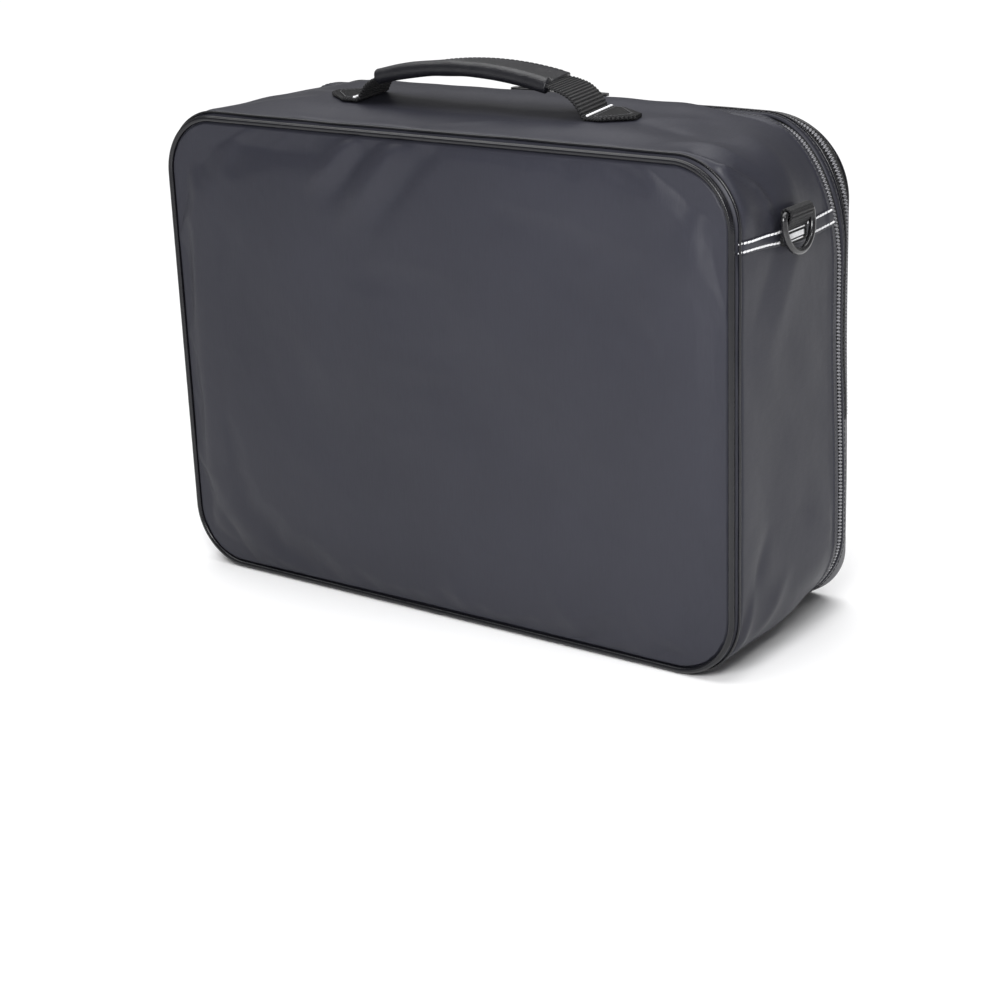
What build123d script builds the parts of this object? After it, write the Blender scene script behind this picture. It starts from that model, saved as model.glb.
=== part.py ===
from build123d import *
import math
import os

# A soft-sided doctor's case, standing on its base. Millimetres, +Z up, +X to the
# case's right, and the hinged front with its zips faces +Y. The origin is the
# middle of the footprint, on the surface that the case stands on.

# Overall body
body_width = 402.0
body_height = 294.0
body_depth = 150.0
main_depth = 119.0
corner_radius = 39.0

# Piped rims of the back and front panels
piping_diameter = 4.5
rim_side_inset = 1.2
rim_top_drop = 3.0
rim_lift = 0.3

# Wall layers, from outside to inside
cover_thickness = 1.4
foam_thickness = 3.0
lining_thickness = 0.6
layer_gap = 0.2
board_thickness = 2.4

# Clearances
seat_gap = 0.3
body_gap = 0.3
sewn_gap = 0.15
cut_overrun = 1.0

# Side seams, where the upper and lower gussets meet
seam_drop = 50.8
seam_strip_width = 10.0
seam_strip_thickness = 0.8

# Padded crown under the handle
crown_rise = 5.5
crown_half_length = 150.0
crown_half_land = 21.0
crown_foot_back = 5.0
crown_foot_front = 3.0

# Zips: a slot in the cover with a tape beneath each edge and a coil on each tape
zip_slot_width = 12.0
coil_width = 2.4
coil_thickness = 2.2
coil_inset = 0.6
coil_lid_drop = 0.5
tape_width = 7.6
tape_thickness = 0.8
tape_inset = 1.6
zip_end_past = 1.0
tape_overlap = 3.0
pocket_zip_setback = 11.5
pocket_tape_trim = 1.0

# Zip sliders and pulls
slider_length = 11.0
slider_width = 8.6
slider_plate = 1.0
slider_rest_x = 9.0
slider_neck_length = 4.5
slider_neck = 0.8
slider_corner = 2.0
coil_clearance = 0.3
neck_slot = 1.4
slider_end_margin = 10.0
lug_thickness = 1.4
lug_radius = 1.9
pivot_radius = 0.8
pivot_clearance = 0.05
pull_length = 26.0
pull_width = 7.0
pull_thickness = 1.4
pull_arm_gap = 0.3
pull_slot_length = 9.0
pull_slot_width = 2.6
pull_corner = 2.8
pull_pin_inset = 0.5

# Pocket flap, the upper part of the front panel
flap_hinge_height = 119.0

# Handle
handle_y = -18.0
webbing_width = 38.0
webbing_thickness = 2.0
handle_rise = 23.0
handle_radius = 250.0
grip_half_span = 64.0
leg_foot_x = 79.0
leg_turn_radius = 22.6
patch_length = 22.0
patch_tip = 10.0
leg_split_rise = 4.0
lean_limit = 30.0
lean_margin = 1.0
grip_cover_half_width = 18.5
grip_cover_thickness = 1.2
grip_roll_radius = 6.0
grip_core_radius = 4.4
grip_webbing_width = 23.0
grip_end_gap = 0.3
leg_overrun = 2.0

# D-rings and the webbing loops that hold them
ring_y = -16.0
ring_bar_rise = 13.3
ring_wire = 4.0
ring_inner_width = 27.0
ring_drop = 21.5
ring_corner = 3.0
ring_lean = 6.5
loop_width = 25.0
loop_webbing = 1.4
loop_clearance = 0.15
loop_tail_drop = 4.0
loop_tail_rise = 2.8

# Inside
divider_x = 62.0
divider_thickness = 7.0
divider_height = 205.0
divider_front_gap = 13.0
divider_corner = 12.0
board_end_gap = 4.0
loop_count = 6
elastic_loop_width = 34.0
elastic_loop_pitch = 52.0
elastic_loop_height = 34.0
elastic_loop_reach = 11.0
elastic_thickness = 1.2
elastic_loops_z = 150.0

# Planes that several pieces share
back_face = -body_depth / 2
front_face = body_depth / 2
back_rim_y = back_face + piping_diameter / 2
front_rim_y = front_face - piping_diameter / 2
main_zip_y = back_face + main_depth
pocket_zip_y = front_face - pocket_zip_setback
gusset_back = back_face + piping_diameter + body_gap
gusset_front = main_zip_y - zip_slot_width / 2
foam_inset = cover_thickness + layer_gap
lining_inset = foam_inset + foam_thickness + layer_gap
inner_inset = lining_inset + lining_thickness
crown_top = body_height + crown_rise
handle_top = crown_top + handle_rise
leg_split_height = crown_top + leg_split_rise
seam_height = body_height - seam_drop
ring_bar_height = seam_height + ring_bar_rise
loop_tail_low = seam_height - loop_tail_drop
loop_tail_high = seam_height + loop_tail_rise
wall_y = main_zip_y + slider_width / 2 + seat_gap
straight_half = body_width / 2 - corner_radius
hinge_half_length = straight_half - body_gap
zip_end_x = straight_half + zip_end_past
slider_run = straight_half - slider_end_margin
far = 1000.0


def slab(width, low, high, radius, y_start, y_end):
    """A rounded rectangle seen along Y, filled from y_start to y_end."""
    plane = Plane(origin=(0, y_end, (low + high) / 2), x_dir=(1, 0, 0), z_dir=(0, -1, 0))
    return extrude(plane * RectangleRounded(width, high - low, radius), amount=y_end - y_start)


def body_slab(inset, y_start, y_end):
    """The body's outline, taken in by inset."""
    return slab(body_width - 2 * inset, inset, body_height - inset, corner_radius - inset, y_start, y_end)


def rim_slab(inset, y_start, y_end):
    """The outline of a piped panel, taken in by inset from the piping's outside."""
    width = body_width - 2 * rim_side_inset - 2 * inset
    high = body_height - rim_top_drop - inset
    return slab(width, rim_lift + inset, high, corner_radius - rim_side_inset - inset, y_start, y_end)


def band(inset, thickness, y_start, y_end):
    """A strip of the given thickness that runs round the body's outline."""
    hollow = body_slab(inset + thickness, y_start - cut_overrun, y_end + cut_overrun)
    return body_slab(inset, y_start, y_end) - hollow


def block(x_low, x_high, y_low, y_high, z_low, z_high):
    """A plain box between two corners."""
    middle = ((x_low + x_high) / 2, (y_low + y_high) / 2, (z_low + z_high) / 2)
    return Pos(*middle) * Box(x_high - x_low, y_high - y_low, z_high - z_low)


def above(height):
    """All the space above a height."""
    return block(-far, far, -far, far, height, far)


def below(height):
    """All the space below a height."""
    return block(-far, far, -far, far, -far, height)


def hinge_bay():
    """The space over the straight bottom run, which folds instead of unzipping."""
    return block(-hinge_half_length - body_gap, hinge_half_length + body_gap, -far, far, -far, corner_radius)


def prism(points, x_low, x_high):
    """An outline of (y, z) points, filled from x_low to x_high."""
    outline = make_face(Polyline(*[(x_low, y, z) for y, z in points], close=True))
    return extrude(outline, amount=x_high - x_low, dir=(1, 0, 0))


def mirrored(shape):
    """The same piece on the other side of the case."""
    return mirror(shape, about=Plane.YZ)


def piping(y_centre):
    """The piped cord round a panel."""
    radius = piping_diameter / 2
    middle = (rim_lift + body_height - rim_top_drop) / 2
    outline = Plane(origin=(0, y_centre, middle), x_dir=(1, 0, 0), z_dir=(0, -1, 0)) * RectangleRounded(
        body_width - 2 * rim_side_inset - piping_diameter,
        body_height - rim_top_drop - rim_lift - piping_diameter,
        corner_radius - rim_side_inset - radius,
    )
    path = outline.face().outer_wire()
    return sweep(Plane(path @ 0, z_dir=path % 0) * Circle(radius), path=path)


def crown(inset):
    """The padded rise under the handle, its outline taken in by inset."""
    low = body_height - cover_thickness / 2
    slope_run = handle_y - crown_half_land - (gusset_back + crown_foot_back)
    skew = inset * (math.hypot(slope_run, crown_rise) - slope_run) / crown_rise
    outline = [
        (gusset_back + crown_foot_back + inset * slope_run / crown_rise, low),
        (handle_y - crown_half_land + skew, crown_top - inset),
        (handle_y + crown_half_land - skew, crown_top - inset),
        (gusset_front - crown_foot_front - inset * slope_run / crown_rise, low),
    ]
    return prism(outline, inset - crown_half_length, crown_half_length - inset)


def gusset_upper():
    """The cover over the top and the upper sides, with the padded crown."""
    strip = band(0, cover_thickness, gusset_back, gusset_front) & above(seam_height + sewn_gap / 2)
    return strip + (crown(0) - crown(cover_thickness) - body_slab(0, gusset_back, gusset_front))


def crown_pad():
    """The foam that fills the crown, resting on the top of the cover."""
    return crown(cover_thickness + layer_gap) & above(body_height + layer_gap)


def gusset_lower():
    """The cover of the lower sides and the base, which runs on under the lid to its fold."""
    strip = band(0, cover_thickness, gusset_back, gusset_front) & below(seam_height - sewn_gap / 2)
    return strip + base_run(0, cover_thickness)


def base_run(low, thickness):
    """The part of a base layer that lies under the lid, up to the lid's fold."""
    start = gusset_front - 2 * tape_overlap
    fold = front_rim_y - piping_diameter / 2 - body_gap
    return block(-hinge_half_length, hinge_half_length, start, fold, low, low + thickness)


def seam_strips():
    """The raised strips over both side seams."""
    x_low = body_width / 2 + sewn_gap
    half = seam_strip_width / 2
    strip = block(
        x_low, x_low + seam_strip_thickness, gusset_back, gusset_front, seam_height - half, seam_height + half
    )
    return Compound(children=[strip, mirrored(strip)])


def gusset_foam():
    """The foam behind the gusset's cover: an upper and a lower piece."""
    start = back_rim_y + lining_stack()
    ring = band(foam_inset, foam_thickness, start, gusset_front - tape_overlap - sewn_gap)
    upper = ring & above(seam_height + sewn_gap / 2)
    lower = (ring & below(seam_height - sewn_gap / 2)) + base_run(foam_inset, foam_thickness)
    return upper, lower


def lining_stack():
    """From a piped rim's centre plane to just inside that panel's lining."""
    return cover_thickness / 2 + layer_gap + foam_thickness + layer_gap + lining_thickness + layer_gap


def gusset_lining():
    """The lining round the main compartment, with its run under the lid."""
    start = back_rim_y + lining_stack()
    ring = band(lining_inset, lining_thickness, start, gusset_front)
    return ring + base_run(lining_inset, lining_thickness)


def panel_layers(y_rim, inward):
    """A piped panel's cover, foam and lining, stacked inward from its rim."""
    layers = []
    offset = -cover_thickness / 2
    for thickness in (cover_thickness, foam_thickness, lining_thickness):
        y_ends = sorted((y_rim + inward * offset, y_rim + inward * (offset + thickness)))
        layers.append(rim_slab(piping_diameter + sewn_gap, *y_ends))
        offset += thickness + layer_gap
    return layers


def base_board():
    """The stiff board that lies on the floor of the main compartment."""
    low = inner_inset + layer_gap
    y_start = back_rim_y + lining_stack() + seat_gap
    half = straight_half - board_end_gap
    return block(-half, half, y_start, gusset_front, low, low + board_thickness)


def divider(x_centre):
    """A padded divider, standing on the base board against the back lining."""
    low = inner_inset + layer_gap + board_thickness + seat_gap
    y_low = back_rim_y + lining_stack() + seat_gap
    y_high = wall_y - layer_gap - elastic_loop_reach - divider_front_gap
    half = divider_thickness / 2
    panel = block(x_centre - half, x_centre + half, y_low, y_high, low, low + divider_height)
    return fillet(panel.edges().filter_by(Axis.X).group_by(Axis.Z)[-1], divider_corner)


def zip_half(y_centre, side, drop, tape_end):
    """Half of a zip: a coil beside the centre plane and the tape that it is sewn to."""
    inner = y_centre + side * sewn_gap
    outer = y_centre + side * (sewn_gap + coil_width)
    coil = band(coil_inset + drop, coil_thickness, *sorted((inner, outer)))
    tape = band(tape_inset, tape_thickness, *sorted((outer - side * coil_width / 2, tape_end)))
    return coil + tape


def neck_way(y_centre):
    """The slot along the top run where a slider's neck passes between the coils."""
    return block(-slider_run, slider_run, y_centre, y_centre + neck_slot, body_height - 2 * inner_inset, far)


def zip_end_bay():
    """The space over the bottom run between the main zip's two ends."""
    return block(-zip_end_x, zip_end_x, -far, far, -far, corner_radius)


def main_zip_body():
    """The body's half of the main zip, from one lower corner round to the other."""
    return zip_half(main_zip_y, -1, 0, gusset_front - tape_overlap) - zip_end_bay()


def main_zip_lid():
    """The lid's half of the main zip."""
    half = zip_half(main_zip_y, 1, coil_lid_drop, main_zip_y + sewn_gap + coil_width + tape_width)
    return half - zip_end_bay() - neck_way(main_zip_y)


def pocket_zip_lid():
    """The lid's half of the pocket zip, over the top and down both sides to the flap's fold."""
    tape_end = pocket_zip_y - sewn_gap - coil_width - tape_width + pocket_tape_trim
    half = zip_half(pocket_zip_y, -1, 0, tape_end)
    return half & above(flap_hinge_height + seat_gap)


def pocket_zip_flap():
    """The flap's half of the pocket zip, up to the piping."""
    half = zip_half(pocket_zip_y, 1, coil_lid_drop, front_rim_y - piping_diameter / 2 - sewn_gap)
    return (half & above(flap_hinge_height + seat_gap)) - neck_way(pocket_zip_y)


def lid_gusset():
    """The lid's side strip: narrow between the zips, full depth below the pocket zip."""
    edge = pocket_zip_y - zip_slot_width / 2
    fold = front_rim_y - piping_diameter / 2 - sewn_gap
    strip = band(0, cover_thickness, main_zip_y + zip_slot_width / 2, edge)
    flap_clear = below(flap_hinge_height - piping_diameter / 2 - seat_gap)
    lower = band(0, cover_thickness, edge - cut_overrun, fold) & flap_clear
    return (strip + lower) - hinge_bay()


def lid_floor():
    """All the space above the base layers, where the lid's inner layers end."""
    return above(inner_inset + layer_gap + seat_gap)


def lid_wall():
    """The padded wall between the main compartment and the pocket: lining, foam, pocket lining."""
    outline_inset = tape_inset + tape_thickness + seat_gap
    lining_end = wall_y + lining_thickness
    foam_end = lining_end + layer_gap + foam_thickness
    tray_start = foam_end + layer_gap
    tray_end = pocket_zip_y - slider_width / 2 - seat_gap
    lining = body_slab(outline_inset, wall_y, lining_end) & lid_floor()
    foam = body_slab(outline_inset, lining_end + layer_gap, foam_end) & lid_floor()
    tray = body_slab(outline_inset, tray_start, tray_end) & lid_floor()
    hollow = body_slab(outline_inset + lining_thickness, tray_start + lining_thickness, far)
    hollow_floor = above(inner_inset + layer_gap + seat_gap + lining_thickness)
    return lining, foam, tray - (hollow & hollow_floor)


def elastic_loops():
    """A row of elastic loops for instruments, on the lid's inner face."""
    y_wall = wall_y - layer_gap
    half = elastic_loop_width / 2
    low = elastic_loops_z
    high = elastic_loops_z + elastic_loop_height
    y_front = y_wall - elastic_loop_reach
    y_hollow = y_front + elastic_thickness
    loops = []
    for index in range(loop_count):
        x_centre = (index - (loop_count - 1) / 2) * elastic_loop_pitch
        x_low = x_centre - half
        x_high = x_centre + half
        outer = block(x_low, x_high, y_front, y_wall, low, high)
        x_low += elastic_thickness
        x_high -= elastic_thickness
        loops.append(outer - block(x_low, x_high, y_hollow, far, low - cut_overrun, high + cut_overrun))
    return Compound(children=loops)


def front_lower(shape, edge_gap):
    """The part of a front layer that stays on the lid, below the flap's fold."""
    return shape & below(flap_hinge_height - edge_gap - seat_gap)


def flap_panel(panel):
    """The flap's cover, whose lower edge is rounded about the fold."""
    upper = panel & above(flap_hinge_height)
    radius = cover_thickness / 2
    width = body_width - 2 * rim_side_inset - 2 * piping_diameter - 2 * sewn_gap
    roll = Plane(origin=(-width / 2, front_rim_y, flap_hinge_height), z_dir=(1, 0, 0)) * Circle(radius)
    return upper + extrude(roll, amount=width)


def flap_piping(ring):
    """The flap's piping, with ball ends at the fold."""
    x_end = body_width / 2 - rim_side_inset - piping_diameter / 2
    ball = Pos(x_end, front_rim_y, flap_hinge_height) * Sphere(piping_diameter / 2)
    return (ring & above(flap_hinge_height)) + ball + mirrored(ball)


def disc_across(x_centre, y_centre, height, radius, length):
    """A round bar along Y."""
    return Pos(x_centre, y_centre, height) * Cylinder(radius, length, rotation=(90, 0, 0))


def slider(y_centre, x_centre):
    """A zip slider: two plates joined by a neck, with a lug for its pull."""
    top_low = body_height - coil_inset + coil_clearance
    bottom_high = body_height - coil_inset - coil_thickness - coil_lid_drop - coil_clearance
    plate = Pos(x_centre, y_centre, 0) * RectangleRounded(slider_length, slider_width, slider_corner)
    top = extrude(Pos(0, 0, top_low) * plate, amount=slider_plate)
    bottom = extrude(Pos(0, 0, bottom_high - slider_plate) * plate, amount=slider_plate)
    neck_low = y_centre + (neck_slot - slider_neck) / 2
    neck_high = neck_low + slider_neck
    half_neck = slider_neck_length / 2
    neck = block(x_centre - half_neck, x_centre + half_neck, neck_low, neck_high, bottom_high, top_low)
    pivot = pull_pivot_height()
    half_lug = lug_thickness / 2
    x_low = x_centre - lug_radius
    x_high = x_centre + lug_radius
    lug = disc_across(x_centre, y_centre, pivot, lug_radius, lug_thickness)
    lug += block(x_low, x_high, y_centre - half_lug, y_centre + half_lug, top_low, pivot)
    hole_radius = pivot_radius + pivot_clearance
    hole = disc_across(x_centre, y_centre, pivot, hole_radius, lug_thickness + 2 * cut_overrun)
    return top + bottom + neck + lug - hole


def pull_pivot_height():
    """The height of a pull's pivot, above its slider's top plate."""
    return body_height - coil_inset + coil_clearance + slider_plate + pull_thickness / 2 + seat_gap


def pull(y_centre, x_centre, side):
    """A zip pull that lies flat along the zip, pointing away from the middle."""
    pivot = pull_pivot_height()
    low = pivot - pull_thickness / 2
    start = lug_radius + pull_arm_gap
    blank = Pos(pull_length / 2, 0, low) * RectangleRounded(pull_length, pull_width, pull_corner)
    plate = extrude(blank, amount=pull_thickness) & block(0, far, -far, far, -far, far)
    eye = disc_across(0, 0, pivot, pull_thickness / 2, pull_width)
    half_window = lug_thickness / 2 + pull_arm_gap
    window = block(-far, start, -half_window, half_window, -far, far)
    slot_outline = SlotOverall(pull_slot_length, pull_slot_width)
    slot_blank = Pos(pull_length - pull_slot_length, 0, low - cut_overrun) * slot_outline
    grip_slot = extrude(slot_blank, amount=pull_thickness + 2 * cut_overrun)
    pin = disc_across(0, 0, pivot, pivot_radius, pull_width - 2 * pull_pin_inset)
    shape = (plate + eye) - window - grip_slot + pin
    if side < 0:
        shape = mirrored(shape)
    return Pos(x_centre, y_centre, 0) * shape


def arch_sweep(section, half_angle):
    """A (y, z) section carried along the handle's arch, half_angle to each side of the top."""
    axis = Axis((0, handle_y, handle_top - handle_radius), (0, 1, 0))
    return revolve(section, axis=axis, revolution_arc=2 * half_angle).rotate(axis, -half_angle)


def grip_half_angle(gap=0):
    """The angle that half of the grip takes up along the arch, less a gap at its end."""
    return math.degrees(math.asin(grip_half_span / handle_radius) - gap / handle_radius)


def section_at_top():
    """The plane of the handle's cross-section, at the middle of the arch."""
    return Plane(origin=(0, handle_y, handle_top), x_dir=(0, 1, 0), z_dir=(1, 0, 0))


def grip_outline():
    """The grip's outside: a roll along its back edge and a flat flap in front of it."""
    half_flap = webbing_thickness / 2 + grip_cover_thickness
    roll_y = grip_roll_radius - grip_cover_half_width
    flap_middle = (roll_y + grip_cover_half_width) / 2
    flap = Pos(flap_middle, 0) * Rectangle(grip_cover_half_width - roll_y, 2 * half_flap)
    return Pos(roll_y, 0) * Circle(grip_roll_radius) + flap


def grip_cover():
    """The leatherette sleeve of the grip, hollow for its core and for the webbing."""
    roll_y = grip_roll_radius - grip_cover_half_width
    webbing = Pos(grip_webbing_middle(), 0) * Rectangle(
        grip_webbing_width + 2 * layer_gap, webbing_thickness + 2 * layer_gap
    )
    core = Pos(roll_y, 0) * Circle(grip_core_radius + layer_gap)
    return arch_sweep(section_at_top() * (grip_outline() - core - webbing), grip_half_angle(grip_end_gap))


def grip_webbing_middle():
    """The middle of the webbing inside the grip, across the handle."""
    return grip_cover_half_width - grip_cover_thickness - layer_gap - grip_webbing_width / 2


def grip_core():
    """The round core of the grip's roll."""
    roll_y = grip_roll_radius - grip_cover_half_width
    core = Pos(roll_y, 0) * Circle(grip_core_radius)
    web_edge = grip_webbing_middle() - grip_webbing_width / 2 - layer_gap
    trim = Pos(web_edge + far / 2, 0) * Rectangle(far, webbing_thickness + 2 * layer_gap)
    return arch_sweep(section_at_top() * (core - trim), grip_half_angle(grip_end_gap))


def leg_band():
    """The webbing from the grip's right end down to the foot, before its lower end is cut."""
    half_angle = math.radians(grip_half_angle())
    end = Vector(grip_half_span, 0, handle_top - handle_radius * (1 - math.cos(half_angle)))
    turn_centre = end - Vector(math.sin(half_angle), 0, math.cos(half_angle)) * leg_turn_radius
    axis = Axis((turn_centre.X, handle_y, turn_centre.Z), (0, 1, 0))
    section = Plane(
        origin=(end.X, handle_y, end.Z),
        x_dir=(0, 1, 0),
        z_dir=(math.cos(half_angle), 0, -math.sin(half_angle)),
    ) * Rectangle(webbing_width, webbing_thickness)
    lowest = leg_split_height - leg_overrun
    sweep_angle = math.degrees(math.acos((lowest - turn_centre.Z) / leg_turn_radius))
    return revolve(section, axis=axis, revolution_arc=sweep_angle - grip_half_angle())


def leg_wedge():
    """The space that the legs keep to, so that the handle leans without meeting its feet."""
    half = webbing_width
    rise = half * math.tan(math.radians(lean_limit + lean_margin))
    top = leg_split_height + far
    points = [
        (handle_y, leg_split_height),
        (handle_y + half, leg_split_height + rise),
        (handle_y + half, top),
        (handle_y - half, top),
        (handle_y - half, leg_split_height + rise),
    ]
    return prism(points, -far, far)


def handle_webbing():
    """The webbing through the grip, with both legs down to the lean axis."""
    through = Pos(grip_webbing_middle(), 0) * Rectangle(grip_webbing_width, webbing_thickness)
    arch = arch_sweep(section_at_top() * through, grip_half_angle(-layer_gap))
    leg = leg_band() & leg_wedge()
    return arch + leg + mirrored(leg)


def handle_foot():
    """The right foot: webbing that comes down, turns outward and ends in a sewn pointed patch."""
    low = crown_top + layer_gap
    high = low + webbing_thickness
    half = webbing_width / 2
    x_in = leg_foot_x - webbing_thickness / 2
    shoulder = x_in + patch_length
    tip = shoulder + patch_tip
    corners = [(x_in, -half), (shoulder, -half), (tip, 0), (shoulder, half), (x_in, half)]
    outline = make_face(Polyline(*corners, close=True))
    patch = extrude(Pos(0, handle_y, low) * outline, amount=high - low)
    x_out = x_in + webbing_thickness
    stub = block(x_in, x_out, handle_y - half, handle_y + half, low, leg_split_height - body_gap)
    return patch + stub


def ring_bar_x():
    """How far out the D-ring's bar lies."""
    return loop_base_x() + loop_webbing + loop_clearance + ring_wire / 2


def loop_base_x():
    """The face that the D-ring's webbing loop is sewn to."""
    return body_width / 2 + sewn_gap + seam_strip_thickness + sewn_gap


def d_ring():
    """The right D-ring, leaning out where it rests against its webbing."""
    radius = (ring_inner_width + ring_wire) / 2
    low = -ring_drop + radius
    path = Wire(
        [
            Line((ring_corner - radius, 0), (radius - ring_corner, 0)),
            TangentArc((radius - ring_corner, 0), (radius, -ring_corner), tangent=(1, 0)),
            Line((radius, -ring_corner), (radius, low)),
            ThreePointArc((radius, low), (0, -ring_drop), (-radius, low)),
            Line((-radius, low), (-radius, -ring_corner)),
            TangentArc((-radius, -ring_corner), (ring_corner - radius, 0), tangent=(0, 1)),
        ]
    )
    section = Plane(path @ 0, z_dir=path % 0) * Circle(ring_wire / 2)
    ring = sweep(section, path=path)
    placed = Plane(origin=(ring_bar_x(), ring_y, ring_bar_height), x_dir=(0, 1, 0), z_dir=(1, 0, 0)) * ring
    bar = Axis((ring_bar_x(), ring_y, ring_bar_height), (0, 1, 0))
    return placed.rotate(bar, -ring_lean)


def loop_fold(reach, x_low, low):
    """The loop's fold over the bar, filled out to reach from the bar and down to a wedge at its tails."""
    half = loop_width / 2
    x_bar = ring_bar_x()
    x_out = x_bar + reach
    bar_under = ring_bar_height - ring_wire / 2
    start = (x_bar - reach, ring_bar_height)
    crest = (x_bar, ring_bar_height + reach)
    end = (x_out, ring_bar_height)
    sides = [
        Line((x_low, low), start),
        ThreePointArc(start, crest, end),
        Line(end, (x_out, bar_under)),
        Line((x_out, bar_under), (x_low, low)),
    ]
    plane = Plane(origin=(0, ring_y + half, 0), x_dir=(1, 0, 0), z_dir=(0, -1, 0))
    return extrude(plane * make_face(Wire(sides)), amount=loop_width)


def ring_loop():
    """The right webbing loop, folded over the D-ring's bar with both tails sewn at the seam."""
    x_wall = loop_base_x()
    x_inner = x_wall + loop_webbing
    y_low = ring_y - loop_width / 2
    y_high = ring_y + loop_width / 2
    inner = ring_wire / 2 + loop_clearance
    tails = block(x_wall, x_inner + loop_webbing, y_low, y_high, loop_tail_low, loop_tail_high)
    strap = block(x_wall, x_inner, y_low, y_high, loop_tail_low, ring_bar_height)
    shell = loop_fold(inner + loop_webbing, x_wall, loop_tail_high - 2 * loop_webbing)
    hollow = loop_fold(inner, x_inner, loop_tail_high + loop_webbing)
    return tails + strap + (shell & above(loop_tail_high - cut_overrun)) - hollow


def write(shape, name):
    """Write one node's solids to its own file."""
    solids = shape.solids()
    export_step(solids[0] if len(solids) == 1 else Compound(children=list(solids)), f"parts/{name}.step")


def main():
    os.makedirs("parts", exist_ok=True)
    foam_upper, foam_lower = gusset_foam()
    back_panel, back_foam, back_lining = panel_layers(back_rim_y, 1)
    front_panel, front_foam, front_lining = panel_layers(front_rim_y, -1)
    front_piping = piping(front_rim_y)
    lid_lining, lid_foam, pocket_lining = lid_wall()
    fold_above = above(flap_hinge_height + seat_gap)
    cover_edge = cover_thickness / 2
    nodes = {
        "back_panel": back_panel,
        "back_foam": back_foam,
        "back_lining": back_lining,
        "back_piping": piping(back_rim_y),
        "gusset_upper": gusset_upper(),
        "gusset_lower": gusset_lower(),
        "crown_pad": crown_pad(),
        "side_seam_strips": seam_strips(),
        "gusset_foam_upper": foam_upper,
        "gusset_foam_lower": foam_lower,
        "gusset_lining": gusset_lining(),
        "base_board": base_board(),
        "divider_left": divider(-divider_x),
        "divider_right": divider(divider_x),
        "main_zip_body": main_zip_body(),
        "main_zip_lid": main_zip_lid(),
        "lid_gusset": lid_gusset(),
        "lid_lining": lid_lining,
        "lid_foam": lid_foam,
        "pocket_lining": pocket_lining,
        "elastic_loops": elastic_loops(),
        "pocket_zip_lid": pocket_zip_lid(),
        "pocket_zip_flap": pocket_zip_flap(),
        "front_panel_lower": front_lower(front_panel, cover_edge),
        "front_foam_lower": front_lower(front_foam, cover_edge) & lid_floor(),
        "front_lining_lower": front_lower(front_lining, cover_edge) & lid_floor(),
        "front_piping_lower": front_lower(front_piping, piping_diameter / 2),
        "flap_panel": flap_panel(front_panel),
        "flap_foam": front_foam & fold_above,
        "flap_lining": front_lining & fold_above,
        "flap_piping": flap_piping(front_piping),
        "handle_webbing": handle_webbing(),
        "handle_grip_cover": grip_cover(),
        "handle_grip_core": grip_core(),
        "handle_foot_right": handle_foot(),
        "handle_foot_left": mirrored(handle_foot()),
        "d_ring_right": d_ring(),
        "d_ring_left": mirrored(d_ring()),
        "ring_loop_right": ring_loop(),
        "ring_loop_left": mirrored(ring_loop()),
    }
    for zip_name, y_centre in (("main", main_zip_y), ("pocket", pocket_zip_y)):
        for side_name, side in (("left", -1), ("right", 1)):
            x_centre = side * slider_rest_x
            nodes[f"{zip_name}_slider_{side_name}"] = slider(y_centre, x_centre)
            nodes[f"{zip_name}_pull_{side_name}"] = pull(y_centre, x_centre, side)
    for name, shape in nodes.items():
        write(shape, name)


main()
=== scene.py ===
import math

import bpy
import numpy as np
from bpy.props import FloatProperty, FloatVectorProperty, PointerProperty
from bpy.types import Operator, Panel, PropertyGroup
from mathutils import Matrix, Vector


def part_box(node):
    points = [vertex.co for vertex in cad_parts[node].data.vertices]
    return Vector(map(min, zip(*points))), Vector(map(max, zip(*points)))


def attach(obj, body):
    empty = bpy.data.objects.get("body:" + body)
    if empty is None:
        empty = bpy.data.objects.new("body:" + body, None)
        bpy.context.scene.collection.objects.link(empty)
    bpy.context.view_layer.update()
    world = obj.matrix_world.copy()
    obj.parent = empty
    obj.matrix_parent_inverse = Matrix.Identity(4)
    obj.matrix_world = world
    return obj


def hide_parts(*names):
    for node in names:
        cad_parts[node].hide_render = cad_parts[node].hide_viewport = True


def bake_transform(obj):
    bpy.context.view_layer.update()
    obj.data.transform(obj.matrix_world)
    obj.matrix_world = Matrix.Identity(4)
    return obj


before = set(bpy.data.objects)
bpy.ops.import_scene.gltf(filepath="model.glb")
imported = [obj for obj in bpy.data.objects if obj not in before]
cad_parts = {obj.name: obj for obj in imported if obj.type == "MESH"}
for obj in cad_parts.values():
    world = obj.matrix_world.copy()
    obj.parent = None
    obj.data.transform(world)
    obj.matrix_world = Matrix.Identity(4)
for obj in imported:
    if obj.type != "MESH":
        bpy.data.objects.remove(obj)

# A soft-sided doctor's case. Shapes are worked out in millimetres in the frame's own
# axes (+Z up, +X to the case's right, the zips towards +Y) and become metres in add_piece.

bl_info = {
    "name": "Soft Doctor's Case",
    "version": (1, 0, 0),
    "blender": (4, 5, 0),
    "location": "3D View > Sidebar > Case",
    "description": "Builds the covers, zips, handle and lining of a soft-sided doctor's case",
    "category": "Add Mesh",
}

MM = 0.001
TAU = 2 * math.pi
UV_NAME = "Cloth"


def corner_mm(node, end):
    """The lowest (0) or highest (1) corner of a node's box, in millimetres."""
    return np.array(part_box(node)[end]) / MM


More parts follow.
